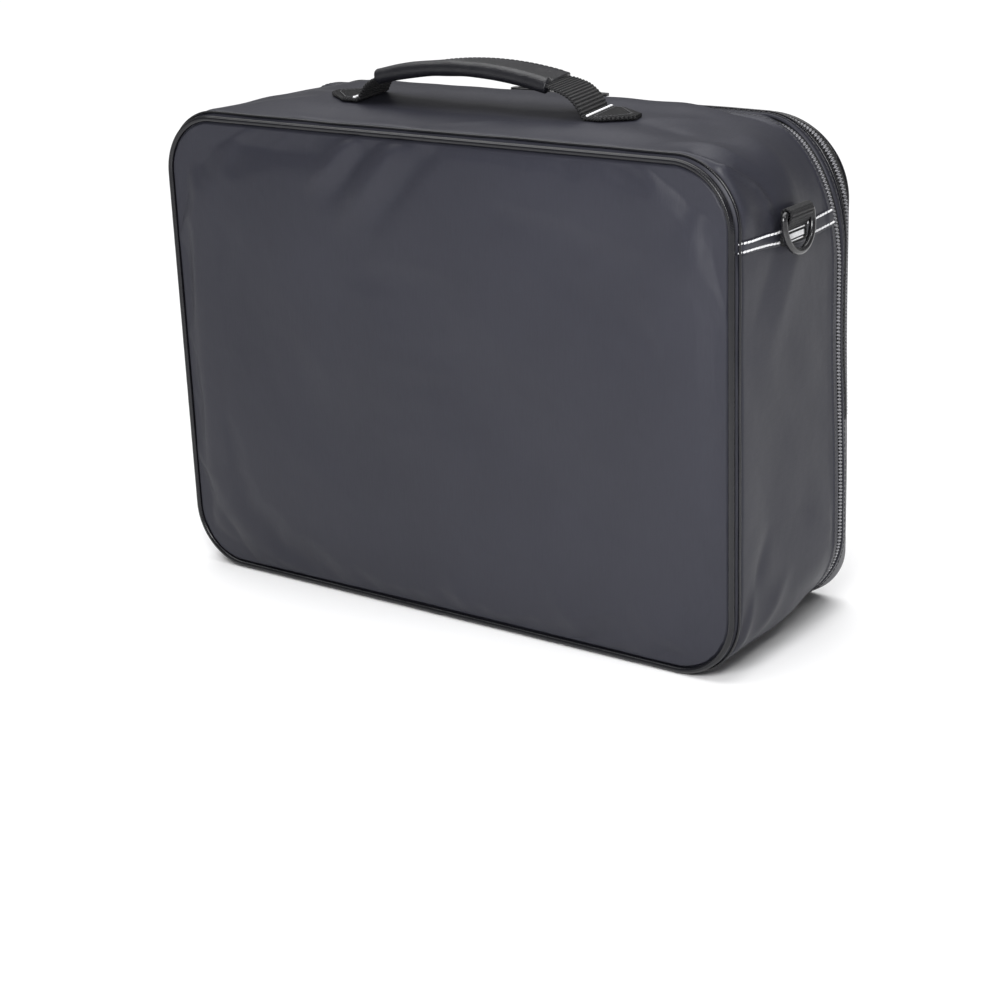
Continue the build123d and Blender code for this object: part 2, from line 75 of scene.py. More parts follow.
# Planes and lines that the frame gives
RIM_LOW = corner_mm("back_piping", 0)
RIM_HIGH = corner_mm("back_piping", 1)
BODY_HALF = corner_mm("gusset_lower", 1)[0]
BODY_TOP = corner_mm("lid_gusset", 1)[2]
CROWN_TOP = corner_mm("gusset_upper", 1)[2]
SEAM_Z = corner_mm("side_seam_strips", 0)[2] / 2 + corner_mm("side_seam_strips", 1)[2] / 2
BACK_RIM_Y = (RIM_LOW[1] + RIM_HIGH[1]) / 2
FRONT_RIM_Y = (corner_mm("flap_piping", 0)[1] + corner_mm("flap_piping", 1)[1]) / 2
MAIN_ZIP_Y = corner_mm("main_slider_right", 0)[1] / 2 + corner_mm("main_slider_right", 1)[1] / 2
POCKET_ZIP_Y = corner_mm("pocket_slider_right", 0)[1] / 2 + corner_mm("pocket_slider_right", 1)[1] / 2
FOLD_Z = (corner_mm("flap_piping", 0)[2] + (RIM_HIGH[1] - RIM_LOW[1]) / 2)
PIPING_RADIUS = (RIM_HIGH[1] - RIM_LOW[1]) / 2
HINGE_HALF = corner_mm("base_board", 1)[0] + 4
HANDLE_Y = (corner_mm("handle_grip_cover", 0)[1] + corner_mm("handle_grip_cover", 1)[1]) / 2
WALL_Y = corner_mm("lid_lining", 0)[1]

# Places across the case's depth
GUSSET_BACK_Y = BACK_RIM_Y + 1.2
ZIP_HALF_SLOT = 6.0
GUSSET_FRONT_Y = MAIN_ZIP_Y - ZIP_HALF_SLOT
LID_BACK_Y = MAIN_ZIP_Y + ZIP_HALF_SLOT
LID_FRONT_Y = POCKET_ZIP_Y - ZIP_HALF_SLOT


def smooth(value, start, end):
    """0 before start, 1 after end and an S-shaped rise between them, 3t^2 - 2t^3."""
    t = np.clip((value - start) / (end - start), 0, 1)
    return t * t * (3 - 2 * t)


def bump(value, centre, width):
    """A bell, exp(-((value - centre) / width)^2)."""
    return np.exp(-(((value - centre) / width) ** 2))


def wander(a, b, seed, wavelength, waves=7):
    """A soft uneven field between about -1 and 1: a sum of plane waves over two coordinates,
    with seeded directions, phases and wavelengths near the one given."""
    dice = np.random.RandomState(seed)
    total = np.zeros(np.broadcast(a, b).shape)
    for angle, phase, stretch in dice.rand(waves, 3):
        k = TAU / (wavelength * (0.6 + stretch))
        total += np.sin(k * (a * math.cos(TAU * angle) + b * math.sin(TAU * angle)) + TAU * phase)
    return total / math.sqrt(2 * waves)


def half_outline(half, top, low, round_x, round_z, low_round, steps=60):
    """The right half of a rounded outline from its bottom middle to its top middle: a level
    run, a quarter circle, an upright side, a quarter ellipse and a level run."""
    arc = np.linspace(0, math.pi / 2, steps)
    x = np.concatenate([
        np.linspace(0, half - low_round, steps),
        half - low_round + low_round * np.sin(arc),
        np.full(steps, half),
        half - round_x + round_x * np.cos(arc),
        np.linspace(half - round_x, 0, steps),
    ])
    z = np.concatenate([
        np.full(steps, low),
        low + low_round - low_round * np.cos(arc),
        np.linspace(low + low_round, top - round_z, steps),
        top - round_z + round_z * np.sin(arc),
        np.full(steps, top),
    ])
    return x, z


def run_length(*coordinates):
    """The distance covered at each point of a line: the running sum of its segments."""
    steps = np.sqrt(sum(np.diff(c) ** 2 for c in coordinates))
    return np.concatenate([[0], np.cumsum(steps)])


# The soft outline at places along the depth: back rim, gusset's back, under the handle,
# main zip, pocket zip and its front edge, and front rim
STATION_Y = np.array([
    BACK_RIM_Y, GUSSET_BACK_Y + 4, HANDLE_Y + 10, MAIN_ZIP_Y, POCKET_ZIP_Y, POCKET_ZIP_Y + 4.5, FRONT_RIM_Y
])
STATION_HALF = BODY_HALF - np.array([1.2, 0.2, 0.0, 0.4, 5.8, 7.4, 10.4])
STATION_TOP = BODY_TOP - np.array([3.0, 1.0, 0.0, 0.0, 0.0, 0.0, 2.6])
STATION_LOW = np.array([0.3, 0.15, 0.0, 0.0, 0.2, 0.25, 0.3])
STATION_ROUND_X = np.array([38.0, 38.5, 40.0, 51.0, 50.0, 51.0, 50.0])
STATION_ROUND_Z = np.array([38.0, 38.5, 44.0, 85.0, 64.0, 56.0, 45.0])
STATION_LOW_ROUND = np.array([38.0, 38.0, 39.0, 56.0, 40.0, 35.0, 31.0])
SIDE_FLARE = 3.2
TABLE_COLUMNS = 1201
TABLE_EDGE_Y = 90


def along_depth(values, depth):
    """A station value at each depth: straight between stations, then averaged over 9 mm."""
    kernel = np.ones(9) / 9
    line = np.interp(depth, STATION_Y, values)
    return np.convolve(np.pad(line, 4, mode="edge"), kernel, mode="valid")


def skin_table():
    """The outline at each millimetre of depth, evenly spaced by length from the bottom middle
    (column 0) to the side seam (middle column) and on to the top middle (last column)."""
    depth = np.arange(-TABLE_EDGE_Y, TABLE_EDGE_Y + 1.0)
    stations = (STATION_HALF, STATION_TOP, STATION_LOW, STATION_ROUND_X, STATION_ROUND_Z, STATION_LOW_ROUND)
    rows = np.stack([along_depth(values, depth) for values in stations], axis=1)
    table = np.empty((2, len(depth), TABLE_COLUMNS))
    half_count = TABLE_COLUMNS // 2
    for index, row in enumerate(rows):
        x, z = half_outline(*row)
        flare = SIDE_FLARE * smooth(z, 190, 70) * smooth(depth[index], -50, MAIN_ZIP_Y)
        flare *= 1 - 0.45 * smooth(depth[index], MAIN_ZIP_Y + 6, FRONT_RIM_Y)
        x = x * (1 + flare / row[0] * (x / row[0]) ** 6)
        length = run_length(x, z)
        seam = np.interp(SEAM_Z, z, length)
        way = np.concatenate([
            np.linspace(0, seam, half_count + 1),
            np.linspace(seam, length[-1], half_count + 1)[1:],
        ])
        table[:, index] = np.interp(way, length, x), np.interp(way, length, z)
    return table


SKIN = skin_table()


def skin(u, y):
    """A point of the plain outline. u is 0 at the bottom middle, 1 and -1 at the side seams
    and 2 or -2 at the top middle, so 1 to 3 goes over the top. Read off the table by
    weighing the four entries around."""
    u, y = np.broadcast_arrays(np.asarray(u, float), np.asarray(y, float))
    way = (u + 2) % 4 - 2
    column = np.abs(way) / 2 * (TABLE_COLUMNS - 1)
    row = np.clip(y + TABLE_EDGE_Y, 0, SKIN.shape[1] - 1.001)
    left = np.minimum(column.astype(int), TABLE_COLUMNS - 2)
    under = row.astype(int)
    a = column - left
    b = row - under
    x, z = (
        (t[under, left] * (1 - a) + t[under, left + 1] * a) * (1 - b)
        + (t[under + 1, left] * (1 - a) + t[under + 1, left + 1] * a) * b
        for t in SKIN
    )
    return np.stack([np.where(way < 0, -x, x), y, z], axis=-1)


def unit(vectors):
    """The same directions with length 1."""
    return vectors / np.maximum(np.linalg.norm(vectors, axis=-1, keepdims=True), 1e-9)


def everywhere(vector, points):
    """The same vector at every point of a line."""
    return np.broadcast_to(np.array(vector, float), points.shape)


def circle(count):
    """Points evenly round a circle of radius 1."""
    angle = np.arange(count) * TAU / count
    return np.stack([np.cos(angle), np.sin(angle)], axis=-1)


def skin_axes(u, y):
    """Unit directions on the outline: round it, across it (towards the front) and outwards,
    from central differences and their cross product."""
    round_it = unit(skin(u + 0.006, y) - skin(u - 0.006, y))
    across = unit(skin(u, y + 1.5) - skin(u, y - 1.5))
    return round_it, across, unit(np.cross(across, round_it))


FOLD_SHARPNESS = 1.5


def crease(points, line, width, height):
    """A fold along a line of points: exp(-(d / width)^1.5) at a distance d from the line, which
    is sharper than a bell. It comes in over the line's first tenth and dies out over its last
    half."""
    line = np.array(line, float)
    runs = len(line) - 1
    nearest = np.full(points.shape[:-1], np.inf)
    way = np.zeros_like(nearest)
    for index in range(runs):
        step = line[index + 1] - line[index]
        t = ((points - line[index]) @ step) / (step @ step)
        gap = np.linalg.norm(points - line[index] - np.clip(t, 0, 1)[..., None] * step, axis=-1)
        way = np.where(gap < nearest, (index + t) / runs, way)
        nearest = np.minimum(gap, nearest)
    across = np.exp(-((nearest / width) ** FOLD_SHARPNESS))
    return height * across * smooth(way, -0.2, 0.1) * (1 - smooth(way, 0.5, 1))


# Folds of the gusset: the points of each from its seam to where it dies out, its width, its height
GUSSET_FOLDS = (
    (
        ((171.6, -69.5, 291), (185.2, -65.5, 285.2), (189.8, -56.4, 281.3), (194.8, -42.4, 274.5),
         (197.6, -35.9, 268.7), (200.9, -32.4, 251.3)), 2.6, 2.2,
    ),
    (((184, -66, 284), (196, -60, 264), (201, -52, 236)), 8.0, 1.6),
    (((164, -66, 293), (185, -63, 286), (195, -42, 274), (201, -32, 246), (202, -30, 226)), 5.0, 1.2),
    (((168, -60, 293), (189, -52, 285), (199, -32, 268), (203, -20, 246)), 5.5, -2.3),
    (((150, -50, 296), (180, -40, 290), (196, -24, 274)), 6.0, 1.3),
    (((120, -36, 299), (160, -34, 296), (186, -16, 284)), 6.5, -1.1),
    (((80, -38, 298), (40, -47, 297), (-14, -60, 294)), 2.4, 0.9),
    (((112, -18, 298), (150, 12, 296)), 7.0, 1.6),
    (((112, -26, 298), (160, -30, 293)), 6.0, -1.3),
    (((-112, -18, 298), (-156, 6, 294)), 7.0, 1.4),
    (((-112, -30, 298), (-166, -48, 291)), 8.0, 1.3),
    (((198, -64, 14), (201, -48, 66)), 5.0, 2.2),
    (((200, -58, 10), (203, -8, 56)), 6.5, 2.0),
    (((200, -64, 30), (203, -30, 92)), 6.0, -1.7),
    (((203, 34, 60), (202, -6, 86)), 8.0, 1.2),
    (((200, -4, 238), (201, -44, 170)), 12.0, 1.3),
    (((200, -30, 238), (201, -58, 196)), 9.0, -1.0),
    (((-199, -64, 14), (-202, -30, 70)), 7.0, 1.7),
    (((-166, -64, 292), (-188, -58, 284), (-199, -34, 256)), 6.0, 0.8),
    (((-200, 0, 238), (-201, -40, 180)), 12.0, 1.2),
    (((-203, 30, 56), (-202, -12, 84)), 8.0, 1.2),
)
CROWN_CREST = CROWN_TOP + 2.6 - BODY_TOP
TOP_EDGE_STAND = 2.2
BEAD_FROM_RIM = 4.0
BEAD_RADIUS = 0.85


def crown_rise(x, y):
    """The padded rise under the handle: up from the back seam, level under the handle's feet,
    up again to a crest and down to the main zip, dying out towards both corners."""
    level = CROWN_TOP - BODY_TOP - 0.3
    up = level * smooth(y, GUSSET_BACK_Y + 1, HANDLE_Y - 20)
    crest = (CROWN_CREST - level) * smooth(y, HANDLE_Y + 16, HANDLE_Y + 38)
    fall = CROWN_CREST * smooth(y, HANDLE_Y + 42, GUSSET_FRONT_Y - 0.5)
    return (up + crest - fall) * (1 - smooth(np.abs(x), 108, 168))


def seam_groove(from_rim):
    """The grooves beside the piping, one on each side of the seam's bead."""
    return -3.2 * bump(from_rim, 1.2, 1.8) - 0.9 * bump(from_rim, BEAD_FROM_RIM + 1.8, 1.1)


def gusset_relief(points, outward):
    """How far the main gusset stands off the plain outline: the crown, the folds, a hollow at
    the side seams, a soft unevenness and the grooves of the back seam. Along the top its front
    edge stands proud of the main zip."""
    x, y, z = np.moveaxis(points, -1, 0)
    height = crown_rise(x, y) * np.clip(outward[..., 2], 0, 1)
    folds = sum(crease(points, *fold) for fold in GUSSET_FOLDS)
    height += folds * smooth(y, GUSSET_BACK_Y + 2, GUSSET_BACK_Y + 9)
    height += 0.35 * wander(y * 1.4 + x * 0.6, z + x, 3, 60) * smooth(z, 2, 20)
    height -= 0.8 * bump(z, SEAM_Z, 9) * (np.abs(outward[..., 0]) > 0.5)
    at_front = smooth(y, GUSSET_FRONT_Y - 9, GUSSET_FRONT_Y - 3)
    proud = TOP_EDGE_STAND * np.clip(outward[..., 2], 0, 1) * (1 - smooth(np.abs(x), 144, 180))
    height += (proud - height) * at_front
    height += seam_groove(y - BACK_RIM_Y)
    return np.where(z < 3, np.minimum(height, 0), height)


def gusset_point(u, y, lift=0.0):
    """A point of the main gusset's outside, raised by lift."""
    points = skin(u, y)
    outward = skin_axes(u, y)[2]
    return points + outward * (gusset_relief(points, outward) + lift)[..., None]


def lid_point(u, y, lift=0.0):
    """A point of the lid's outside, raised by lift, with a soft unevenness."""
    points = skin(u, y)
    outward = skin_axes(u, y)[2]
    x, _, z = np.moveaxis(points, -1, 0)
    uneven = 0.3 * wander(z, x, 8, 70) * smooth(z, 2, 20)
    return points + outward * (uneven + lift)[..., None]


def shift_round(u, y, distance):
    """The u that lies a distance further round the outline, from the local speed of u."""
    speed = np.linalg.norm(skin(u + 0.01, y) - skin(u - 0.01, y), axis=-1) / 0.02
    return u + distance / speed


def grid_faces(rows, columns, wrap_rows=False, wrap_columns=False):
    """The four corners of every cell of a grid of points."""
    index = np.arange(rows * columns).reshape(rows, columns)
    if wrap_rows:
        index = np.vstack([index, index[:1]])
    if wrap_columns:
        index = np.hstack([index, index[:, :1]])
    corners = (index[:-1, :-1], index[1:, :-1], index[1:, 1:], index[:-1, 1:])
    return np.stack(corners, axis=-1).reshape(-1, 4)


def face_normals(points, faces):
    """Each face's area vector, half the cross product of its diagonals."""
    corners = points[faces]
    last = corners[:, -1]
    return np.cross(corners[:, 2] - corners[:, 0], last - corners[:, 1]) / 2


def outside_out(points, faces, outward=None):
    """The faces turned so that they point outwards: along a given direction, or, on a closed
    shape, so that the volume they enclose is positive."""
    normals = face_normals(points, faces)
    if outward is None:
        measure = np.einsum("ij,ij->", points[faces[:, 0]] - points.mean(axis=0), normals)
    else:
        measure = np.einsum("ij,ij->", np.broadcast_to(outward, points.shape)[faces[:, 0]], normals)
    return faces if measure > 0 else faces[:, ::-1]


def add_piece(name, points, faces, material, uv=None, extra=()):
    """A mesh from arrays, in metres, with an optional UV map in metres. extra holds more
    faces, such as an end cap's triangles."""
    mesh = bpy.data.meshes.new(name)
    corners = np.concatenate([np.ravel(faces), *[np.ravel(block) for block in extra]]).astype(np.int32)
    sizes = np.concatenate([np.full(len(block), block.shape[1]) for block in (faces, *extra)])
    starts = np.concatenate([[0], np.cumsum(sizes)[:-1]]).astype(np.int32)
    mesh.vertices.add(len(points))
    mesh.vertices.foreach_set("co", (points * MM).astype(np.float32).ravel())
    mesh.loops.add(len(corners))
    mesh.loops.foreach_set("vertex_index", corners)
    mesh.polygons.add(len(sizes))
    mesh.polygons.foreach_set("loop_start", starts)
    mesh.polygons.foreach_set("loop_total", sizes.astype(np.int32))
    mesh.polygons.foreach_set("use_smooth", np.ones(len(sizes), bool))
    if uv is not None:
        layer = mesh.uv_layers.new(name=UV_NAME)
        layer.data.foreach_set("uv", (uv.reshape(-1, 2)[corners] * MM).astype(np.float32).ravel())
    mesh.update(calc_edges=True)
    piece = bpy.data.objects.new(name, mesh)
    bpy.context.scene.collection.objects.link(piece)
    mesh.materials.append(material)
    return piece


def thicken(piece, thickness):
    """Gives a sheet its thickness, away from its outside."""
    wall = piece.modifiers.new("Thickness", "SOLIDIFY")
    wall.thickness = thickness * MM
    wall.offset = -1
    wall.use_rim = True
    return piece


def grid_lengths(points):
    """A UV map in millimetres for a grid of points: the running lengths along its middle row
    and its middle column."""
    rows, columns = points.shape[:2]
    down = run_length(*points[:, columns // 2].T)
    along = run_length(*points[rows // 2].T)
    return np.stack(np.meshgrid(down, along, indexing="ij"), axis=-1)


def add_sheet(name, points, material, outward, thickness=None, uv=None):
    """A grid of points as a sheet whose outside looks outward, with its thickness."""
    flat = points.reshape(-1, 3)
    faces = grid_faces(*points.shape[:2])
    away = np.broadcast_to(outward, points.shape).reshape(-1, 3)
    map_points = grid_lengths(points) if uv is None else uv
    piece = add_piece(name, flat, outside_out(flat, faces, away), material, map_points)
    return thicken(piece, thickness) if thickness else piece


def add_slab(name, outer, inner, material):
    """A closed body between two grids of points: both grids, and a strip along all four edges."""
    rows, columns = outer.shape[:2]
    both = np.concatenate([outer, inner[:, ::-1]], axis=1)
    index = np.arange(rows * 2 * columns).reshape(rows, 2 * columns)
    place = np.arange(columns - 1)
    start = index[0]
    end = index[-1]
    first = np.stack([start[place], start[place + 1], start[-2 - place], start[-1 - place]], axis=-1)
    last = np.stack([end[place + 1], end[place], end[-1 - place], end[-2 - place]], axis=-1)
    faces = np.concatenate([grid_faces(rows, 2 * columns, False, True), first, last])
    flat = both.reshape(-1, 3)
    return add_piece(name, flat, outside_out(flat, faces), material, grid_lengths(both))


def end_caps(rows, columns, flipped):
    """Triangles that close both ends of a tube of rings: fans about two points that follow the
    rings' own, the first ring's hub and the last ring's."""
    ring = np.arange(columns)
    following = np.roll(ring, -1)
    first = np.stack([ring, following, np.full(columns, rows * columns)], axis=-1)
    last = np.stack([following, ring, np.full(columns, rows * columns + 1)], axis=-1)
    last[:, :2] += (rows - 1) * columns
    caps = np.concatenate([first, last])
    return caps[:, ::-1] if flipped else caps


def add_sweep(name, path, side, up, profile, material, closed=False):
    """A closed profile carried along a path: at each point, side times the profile's first
    coordinate plus up times its second. An open path gets end caps, fans about its ends."""
    profile = np.asarray(profile, float)
    if profile.ndim == 2:
        profile = np.broadcast_to(profile, (len(path), *profile.shape))
    points = path[:, None] + side[:, None] * profile[..., :1] + up[:, None] * profile[..., 1:]
    rows, columns = points.shape[:2]
    faces = grid_faces(rows, columns, closed, True)
    uv = np.stack(np.meshgrid(run_length(*path.T), run_length(*profile[rows // 2].T), indexing="ij"), axis=-1)
    flat = points.reshape(-1, 3)
    turned = outside_out(flat, faces)
    if closed:
        return add_piece(name, flat, turned, material, uv)
    hubs = np.stack([path[end] for end in (0, -1)])
    caps = end_caps(rows, columns, not np.array_equal(turned, faces))
    points = np.concatenate([flat, hubs])
    uv = np.concatenate([uv.reshape(-1, 2), np.zeros((2, 2))])
    return add_piece(name, points, turned, material, uv, extra=(caps,))


def bead(length, width, height):
    """A small rounded bar along X: four six-sided rings, the end ones drawn in."""
    along = np.array([-0.5, -0.34, 0.34, 0.5]) * length
    scale = np.array([0.5, 1, 1, 0.5])
    rings = circle(6) * (width / 2, height / 2) * scale[:, None, None]
    x = np.broadcast_to(along[:, None, None], (4, 6, 1))
    points = np.concatenate([x, rings], axis=-1).reshape(-1, 3)
    ends = np.array([[0, 3, 2, 1], [0, 5, 4, 3], [18, 19, 20, 21], [18, 21, 22, 23]])
    sides = grid_faces(4, 6, False, True)
    if np.einsum("ij,ij->", points[sides[:, 0]], face_normals(points, sides)) < 0:
        sides = sides[:, ::-1]
    return points, np.concatenate([sides, ends])


def scatter(name, shape, origins, along, up, material):
    """Copies of one small shape, each placed at its origin and turned so that X lies along
    and Z up. An along of another length than 1 stretches its copy."""
    points, faces = shape
    axes = np.stack([along, unit(np.cross(up, along)), up], axis=-2)
    placed = origins[:, None] + points @ axes
    offsets = np.arange(len(origins))[:, None, None] * len(points)
    copied = (faces[None] + offsets).reshape(-1, faces.shape[1])
    return add_piece(name, placed.reshape(-1, 3), copied, material)


class Wire:
    """An output socket whose sums, products and waves add Math nodes."""

    def __init__(self, graph, socket):
        self.graph = graph
        self.socket = socket

    def math(self, operation, *others):
        """A Math node on this socket and other sockets or numbers."""
        node = self.graph.node("ShaderNodeMath", {"operation": operation}, self, *others)
        return node.out(0)

    def __add__(self, other):
        return self.math("ADD", other)

    __radd__ = __add__

    def __mul__(self, other):
        return self.math("MULTIPLY", other)

    __rmul__ = __mul__

    def __sub__(self, other):
        return self.math("SUBTRACT", other)

    def __rsub__(self, other):
        return (self * -1).math("ADD", other)

    def wave(self, length):
        """A sine wave of the given length in metres, between -1 and 1."""
        return (self * (TAU / length)).math("SINE")

    def held(self):
        """The value, kept between 0 and 1."""
        return self.math("MAXIMUM", 0.0).math("MINIMUM", 1.0)


class Placed:
    """A node in a graph, whose outputs are read as wires."""

    def __init__(self, graph, node):
        self.graph = graph
        self.node = node

    def out(self, name):
        return Wire(self.graph, self.node.outputs[name])


class Finish:
    """One material's node graph around its Principled shader."""

    def __init__(self, name, colour, roughness, **constants):
        self.material = bpy.data.materials.new(name)
        self.material.use_nodes = True
        self.material.diffuse_color = (*colour, 1)
        self.tree = self.material.node_tree
        self.shader = next(n for n in self.tree.nodes if n.type == "BSDF_PRINCIPLED")
        self.shader.inputs["Base Color"].default_value = (*colour, 1)
        self.shader.inputs["Roughness"].default_value = roughness
        for socket, value in constants.items():
            self.shader.inputs[socket.replace("_", " ")].default_value = value
        self.colour = colour

    def node(self, kind, settings=None, *values, **named):
        """A node of a type, its settings set first, then its sockets by order or by name."""
        node = self.tree.nodes.new(kind)
        for key, value in (settings or {}).items():
            setattr(node, key, value)
        pairs = list(enumerate(values)) + [(key.replace("_", " "), value) for key, value in named.items()]
        for key, value in pairs:
            if isinstance(value, Wire):
                self.tree.links.new(value.socket, node.inputs[key])
            else:
                node.inputs[key].default_value = value
        return Placed(self, node)

    def place(self):
        """Object coordinates, in metres."""
        return self.node("ShaderNodeTexCoord").out("Object")

    def cloth(self):
        """The piece's own UV map, in metres, as two wires."""
        uv = self.node("ShaderNodeUVMap", {"uv_map": UV_NAME}).out(0)
        split = self.node("ShaderNodeSeparateXYZ", None, uv)
        return split.out("X"), split.out("Y")

    def noise(self, scale, detail=3.0, roughness=0.55, vector=None):
        """A noise between 0 and 1 on Object coordinates; scale is in turns per metre."""
        where = self.place() if vector is None else vector
        return self.node(
            "ShaderNodeTexNoise", {"noise_dimensions": "3D"},
            Vector=where, Scale=scale, Detail=detail, Roughness=roughness,
        ).out(0)

    def tint(self, amount, dark, light):
        """Mixes two multiples of the material's colour into Base Color by an amount."""
        mix = self.node("ShaderNodeMix", {"data_type": "RGBA"})
        mix.node.inputs[6].default_value = (*(c * dark for c in self.colour), 1)
        mix.node.inputs[7].default_value = (*(min(1, c * light) for c in self.colour), 1)
        self.tree.links.new(amount.socket, mix.node.inputs[0])
        self.tree.links.new(mix.node.outputs[2], self.shader.inputs["Base Color"])

    def roughen(self, amount):
        """Feeds Roughness."""
        self.tree.links.new(amount.socket, self.shader.inputs["Roughness"])

    def relief(self, *layers):
        """Bump layers, coarse first: each a height wire and its depth in metres."""
        normal = None
        for height, depth in layers:
            bump_node = self.node("ShaderNodeBump", None, Strength=1.0, Distance=depth, Height=height)
            if normal is not None:
                self.tree.links.new(normal, bump_node.node.inputs["Normal"])
            normal = bump_node.node.outputs[0]
        self.tree.links.new(normal, self.shader.inputs["Normal"])


def coated_twill(name, colour, gloss=0.44):
    """Coated twill with a satin face: fine drawn streaks along the cloth, cloudy gloss and a
    faint grain."""
    finish = Finish(name, colour, gloss, Specular_IOR_Level=0.23)
    s, t = finish.cloth()
    drawn = finish.node("ShaderNodeCombineXYZ", None, s, t * 0.07, 0.0).out(0)
    streak = finish.noise(1100.0, 2.0, vector=drawn)
    cloud = finish.noise(9.0, 4.0)
    fine = finish.noise(650.0, 2.0)
    finish.tint((cloud * 1.3 + streak * 0.5 - 0.4).held(), 0.84, 1.18)
    finish.roughen(cloud * 0.14 + fine * 0.08 + (gloss - 0.11))
    finish.relief((finish.noise(24.0, 3.0), 0.0008), (streak, 0.00005), (fine, 0.00003))
    return finish.material


def smooth_binding(name, colour):
    """The piping's coated bias strip: glossier than the panels, with small cross wrinkles."""
    finish = Finish(name, colour, 0.24, Specular_IOR_Level=0.3, Coat_Weight=0.12, Coat_Roughness=0.1)
    s, t = finish.cloth()
    twist = (s + t * 0.8).wave(0.0013)
    wrinkle = finish.noise(160.0, 3.0)
    finish.tint(wrinkle, 0.8, 1.2)
    finish.roughen(wrinkle * 0.12 + 0.13)
    finish.relief((wrinkle, 0.00012), (twist, 0.00002))
    return finish.material


def ribbed_webbing(name, colour, pitch=0.0021, shine=0.55):
    """Woven webbing: fine warp threads crossing raised weft ribs."""
    finish = Finish(name, colour, shine, Specular_IOR_Level=0.35, Sheen_Weight=0.04, Sheen_Roughness=0.4)
    s, t = finish.cloth()
    thread = t.wave(0.0009)
    rib = s.wave(pitch)
    weave = (rib * thread) * 0.5 + 0.5
    fuzz = finish.noise(700.0, 2.0)
    finish.tint((weave * 0.6 + fuzz * 0.5).held(), 0.55, 1.7)
    finish.roughen(fuzz * 0.25 + (shine - 0.1))
    finish.relief((rib, 0.00025), (weave, 0.00022), (fuzz, 0.00005))
    return finish.material


def leatherette(name, colour):
    """Grained leatherette: a net of soft cells over long stretch lines."""
    finish = Finish(name, colour, 0.4, Specular_IOR_Level=0.42)
    cell = finish.node(
        "ShaderNodeTexVoronoi", {"feature": "DISTANCE_TO_EDGE"}, Vector=finish.place(), Scale=900.0
    ).out(0)
    grain = (cell * 3.0).held()
    stretch = finish.noise(70.0, 4.0)
    finish.tint(stretch, 0.8, 1.25)
    finish.roughen(stretch * 0.25 + 0.24)
    finish.relief((stretch, 0.0005), (grain, 0.00008))
    return finish.material


def woven(name, colour, pitch, roughness, sheen, depth=0.00008):
    """A plain weave: threads that pass over and under each other, slightly uneven."""
    finish = Finish(name, colour, roughness, Sheen_Weight=sheen)
    s, t = finish.cloth()
    weave = s.wave(pitch) * t.wave(pitch)
    cloud = finish.noise(30.0, 3.0)
    fuzz = finish.noise(500.0, 2.0)
    finish.tint((weave * 0.25 + fuzz * 0.5 + cloud * 0.3).held(), 0.7, 1.3)
    finish.roughen(cloud * 0.12 + (roughness - 0.06))
    finish.relief((cloud, 0.0006), (weave, depth), (fuzz, 0.00005))
    return finish.material


def twisted_thread(name, colour):
    """Sewing thread: fine slanted strands."""
    finish = Finish(name, colour, 0.55, Sheen_Weight=0.2)
    fuzz = finish.noise(2500.0, 2.0)
    finish.tint(fuzz, 0.8, 1.1)
    finish.relief((fuzz, 0.00008))
    return finish.material


def moulded(name, colour, roughness=0.3):
    """A moulded plastic with a faint orange-peel surface and rubbed gloss."""
    finish = Finish(name, colour, roughness, Specular_IOR_Level=0.55)
    peel = finish.noise(900.0, 2.0)
    rub = finish.noise(60.0, 4.0)
    finish.tint(rub, 0.8, 1.4)
    finish.roughen(rub * 0.2 + (roughness - 0.08))
    finish.relief((peel, 0.00002))
    return finish.material


def enamelled(name, colour, roughness=0.16):
    """Gloss enamel on metal: clear coat, slight flow unevenness and rubbed patches."""
    finish = Finish(name, colour, roughness, Coat_Roughness=0.06, Specular_IOR_Level=0.45, Coat_Weight=0.4)
    flow = finish.noise(140.0, 3.0)
    rub = finish.noise(380.0, 5.0, 0.7)
    finish.tint((rub * 2.0 - 0.7).held(), 0.9, 2.2)
    finish.roughen((rub * 0.3) + (roughness - 0.06))
    finish.relief((flow, 0.0002))
    return finish.material


def cellular_foam(name, colour):
    """Closed-cell foam: fine pits, with painted shade that darkens the colour towards each pit's middle."""
    finish = Finish(name, colour, 0.9)
    pits = finish.node("ShaderNodeTexVoronoi", None, Vector=finish.place(), Scale=1400.0).out(0)
    cloud = finish.noise(40.0)
    # Painted shade: the colour is darker towards each pit's middle, where the pit is deepest.
    finish.tint(pits.held(), 0.75, 1.1)
    finish.relief((cloud, 0.0005), (pits, 0.0002))
    return finish.material


def brushed_plush(name, colour):
    """Brushed loop cloth on padding: short pile in soft clumps."""
    finish = Finish(name, colour, 0.9, Sheen_Weight=0.5, Sheen_Roughness=0.5)
    pile = finish.noise(900.0, 4.0, 0.7)
    clump = finish.noise(90.0, 3.0)
    finish.tint((pile * 0.6 + clump * 0.4).held(), 0.6, 1.35)
    finish.relief((clump, 0.0006), (pile, 0.0003))
    return finish.material


def studio_floor(name, colour):
    """A pale matt board with a faint cloud in its finish."""
    finish = Finish(name, colour, 0.9, Specular_IOR_Level=0.0)
    cloud = finish.noise(3.0)
    finish.roughen(cloud * 0.06 + 0.9)
    return finish.material


def colour_setting(label, description, default):
    """A colour that a user may change."""
    return FloatVectorProperty(
        name=label, description=description, default=default, subtype="COLOR", min=0, max=1
    )


def length_setting(label, description, default, most=0.05):
    """A length in metres that a user may change."""
    return FloatProperty(
        name=label, description=description, default=default,
        subtype="DISTANCE", unit="LENGTH", min=0, max=most,
    )


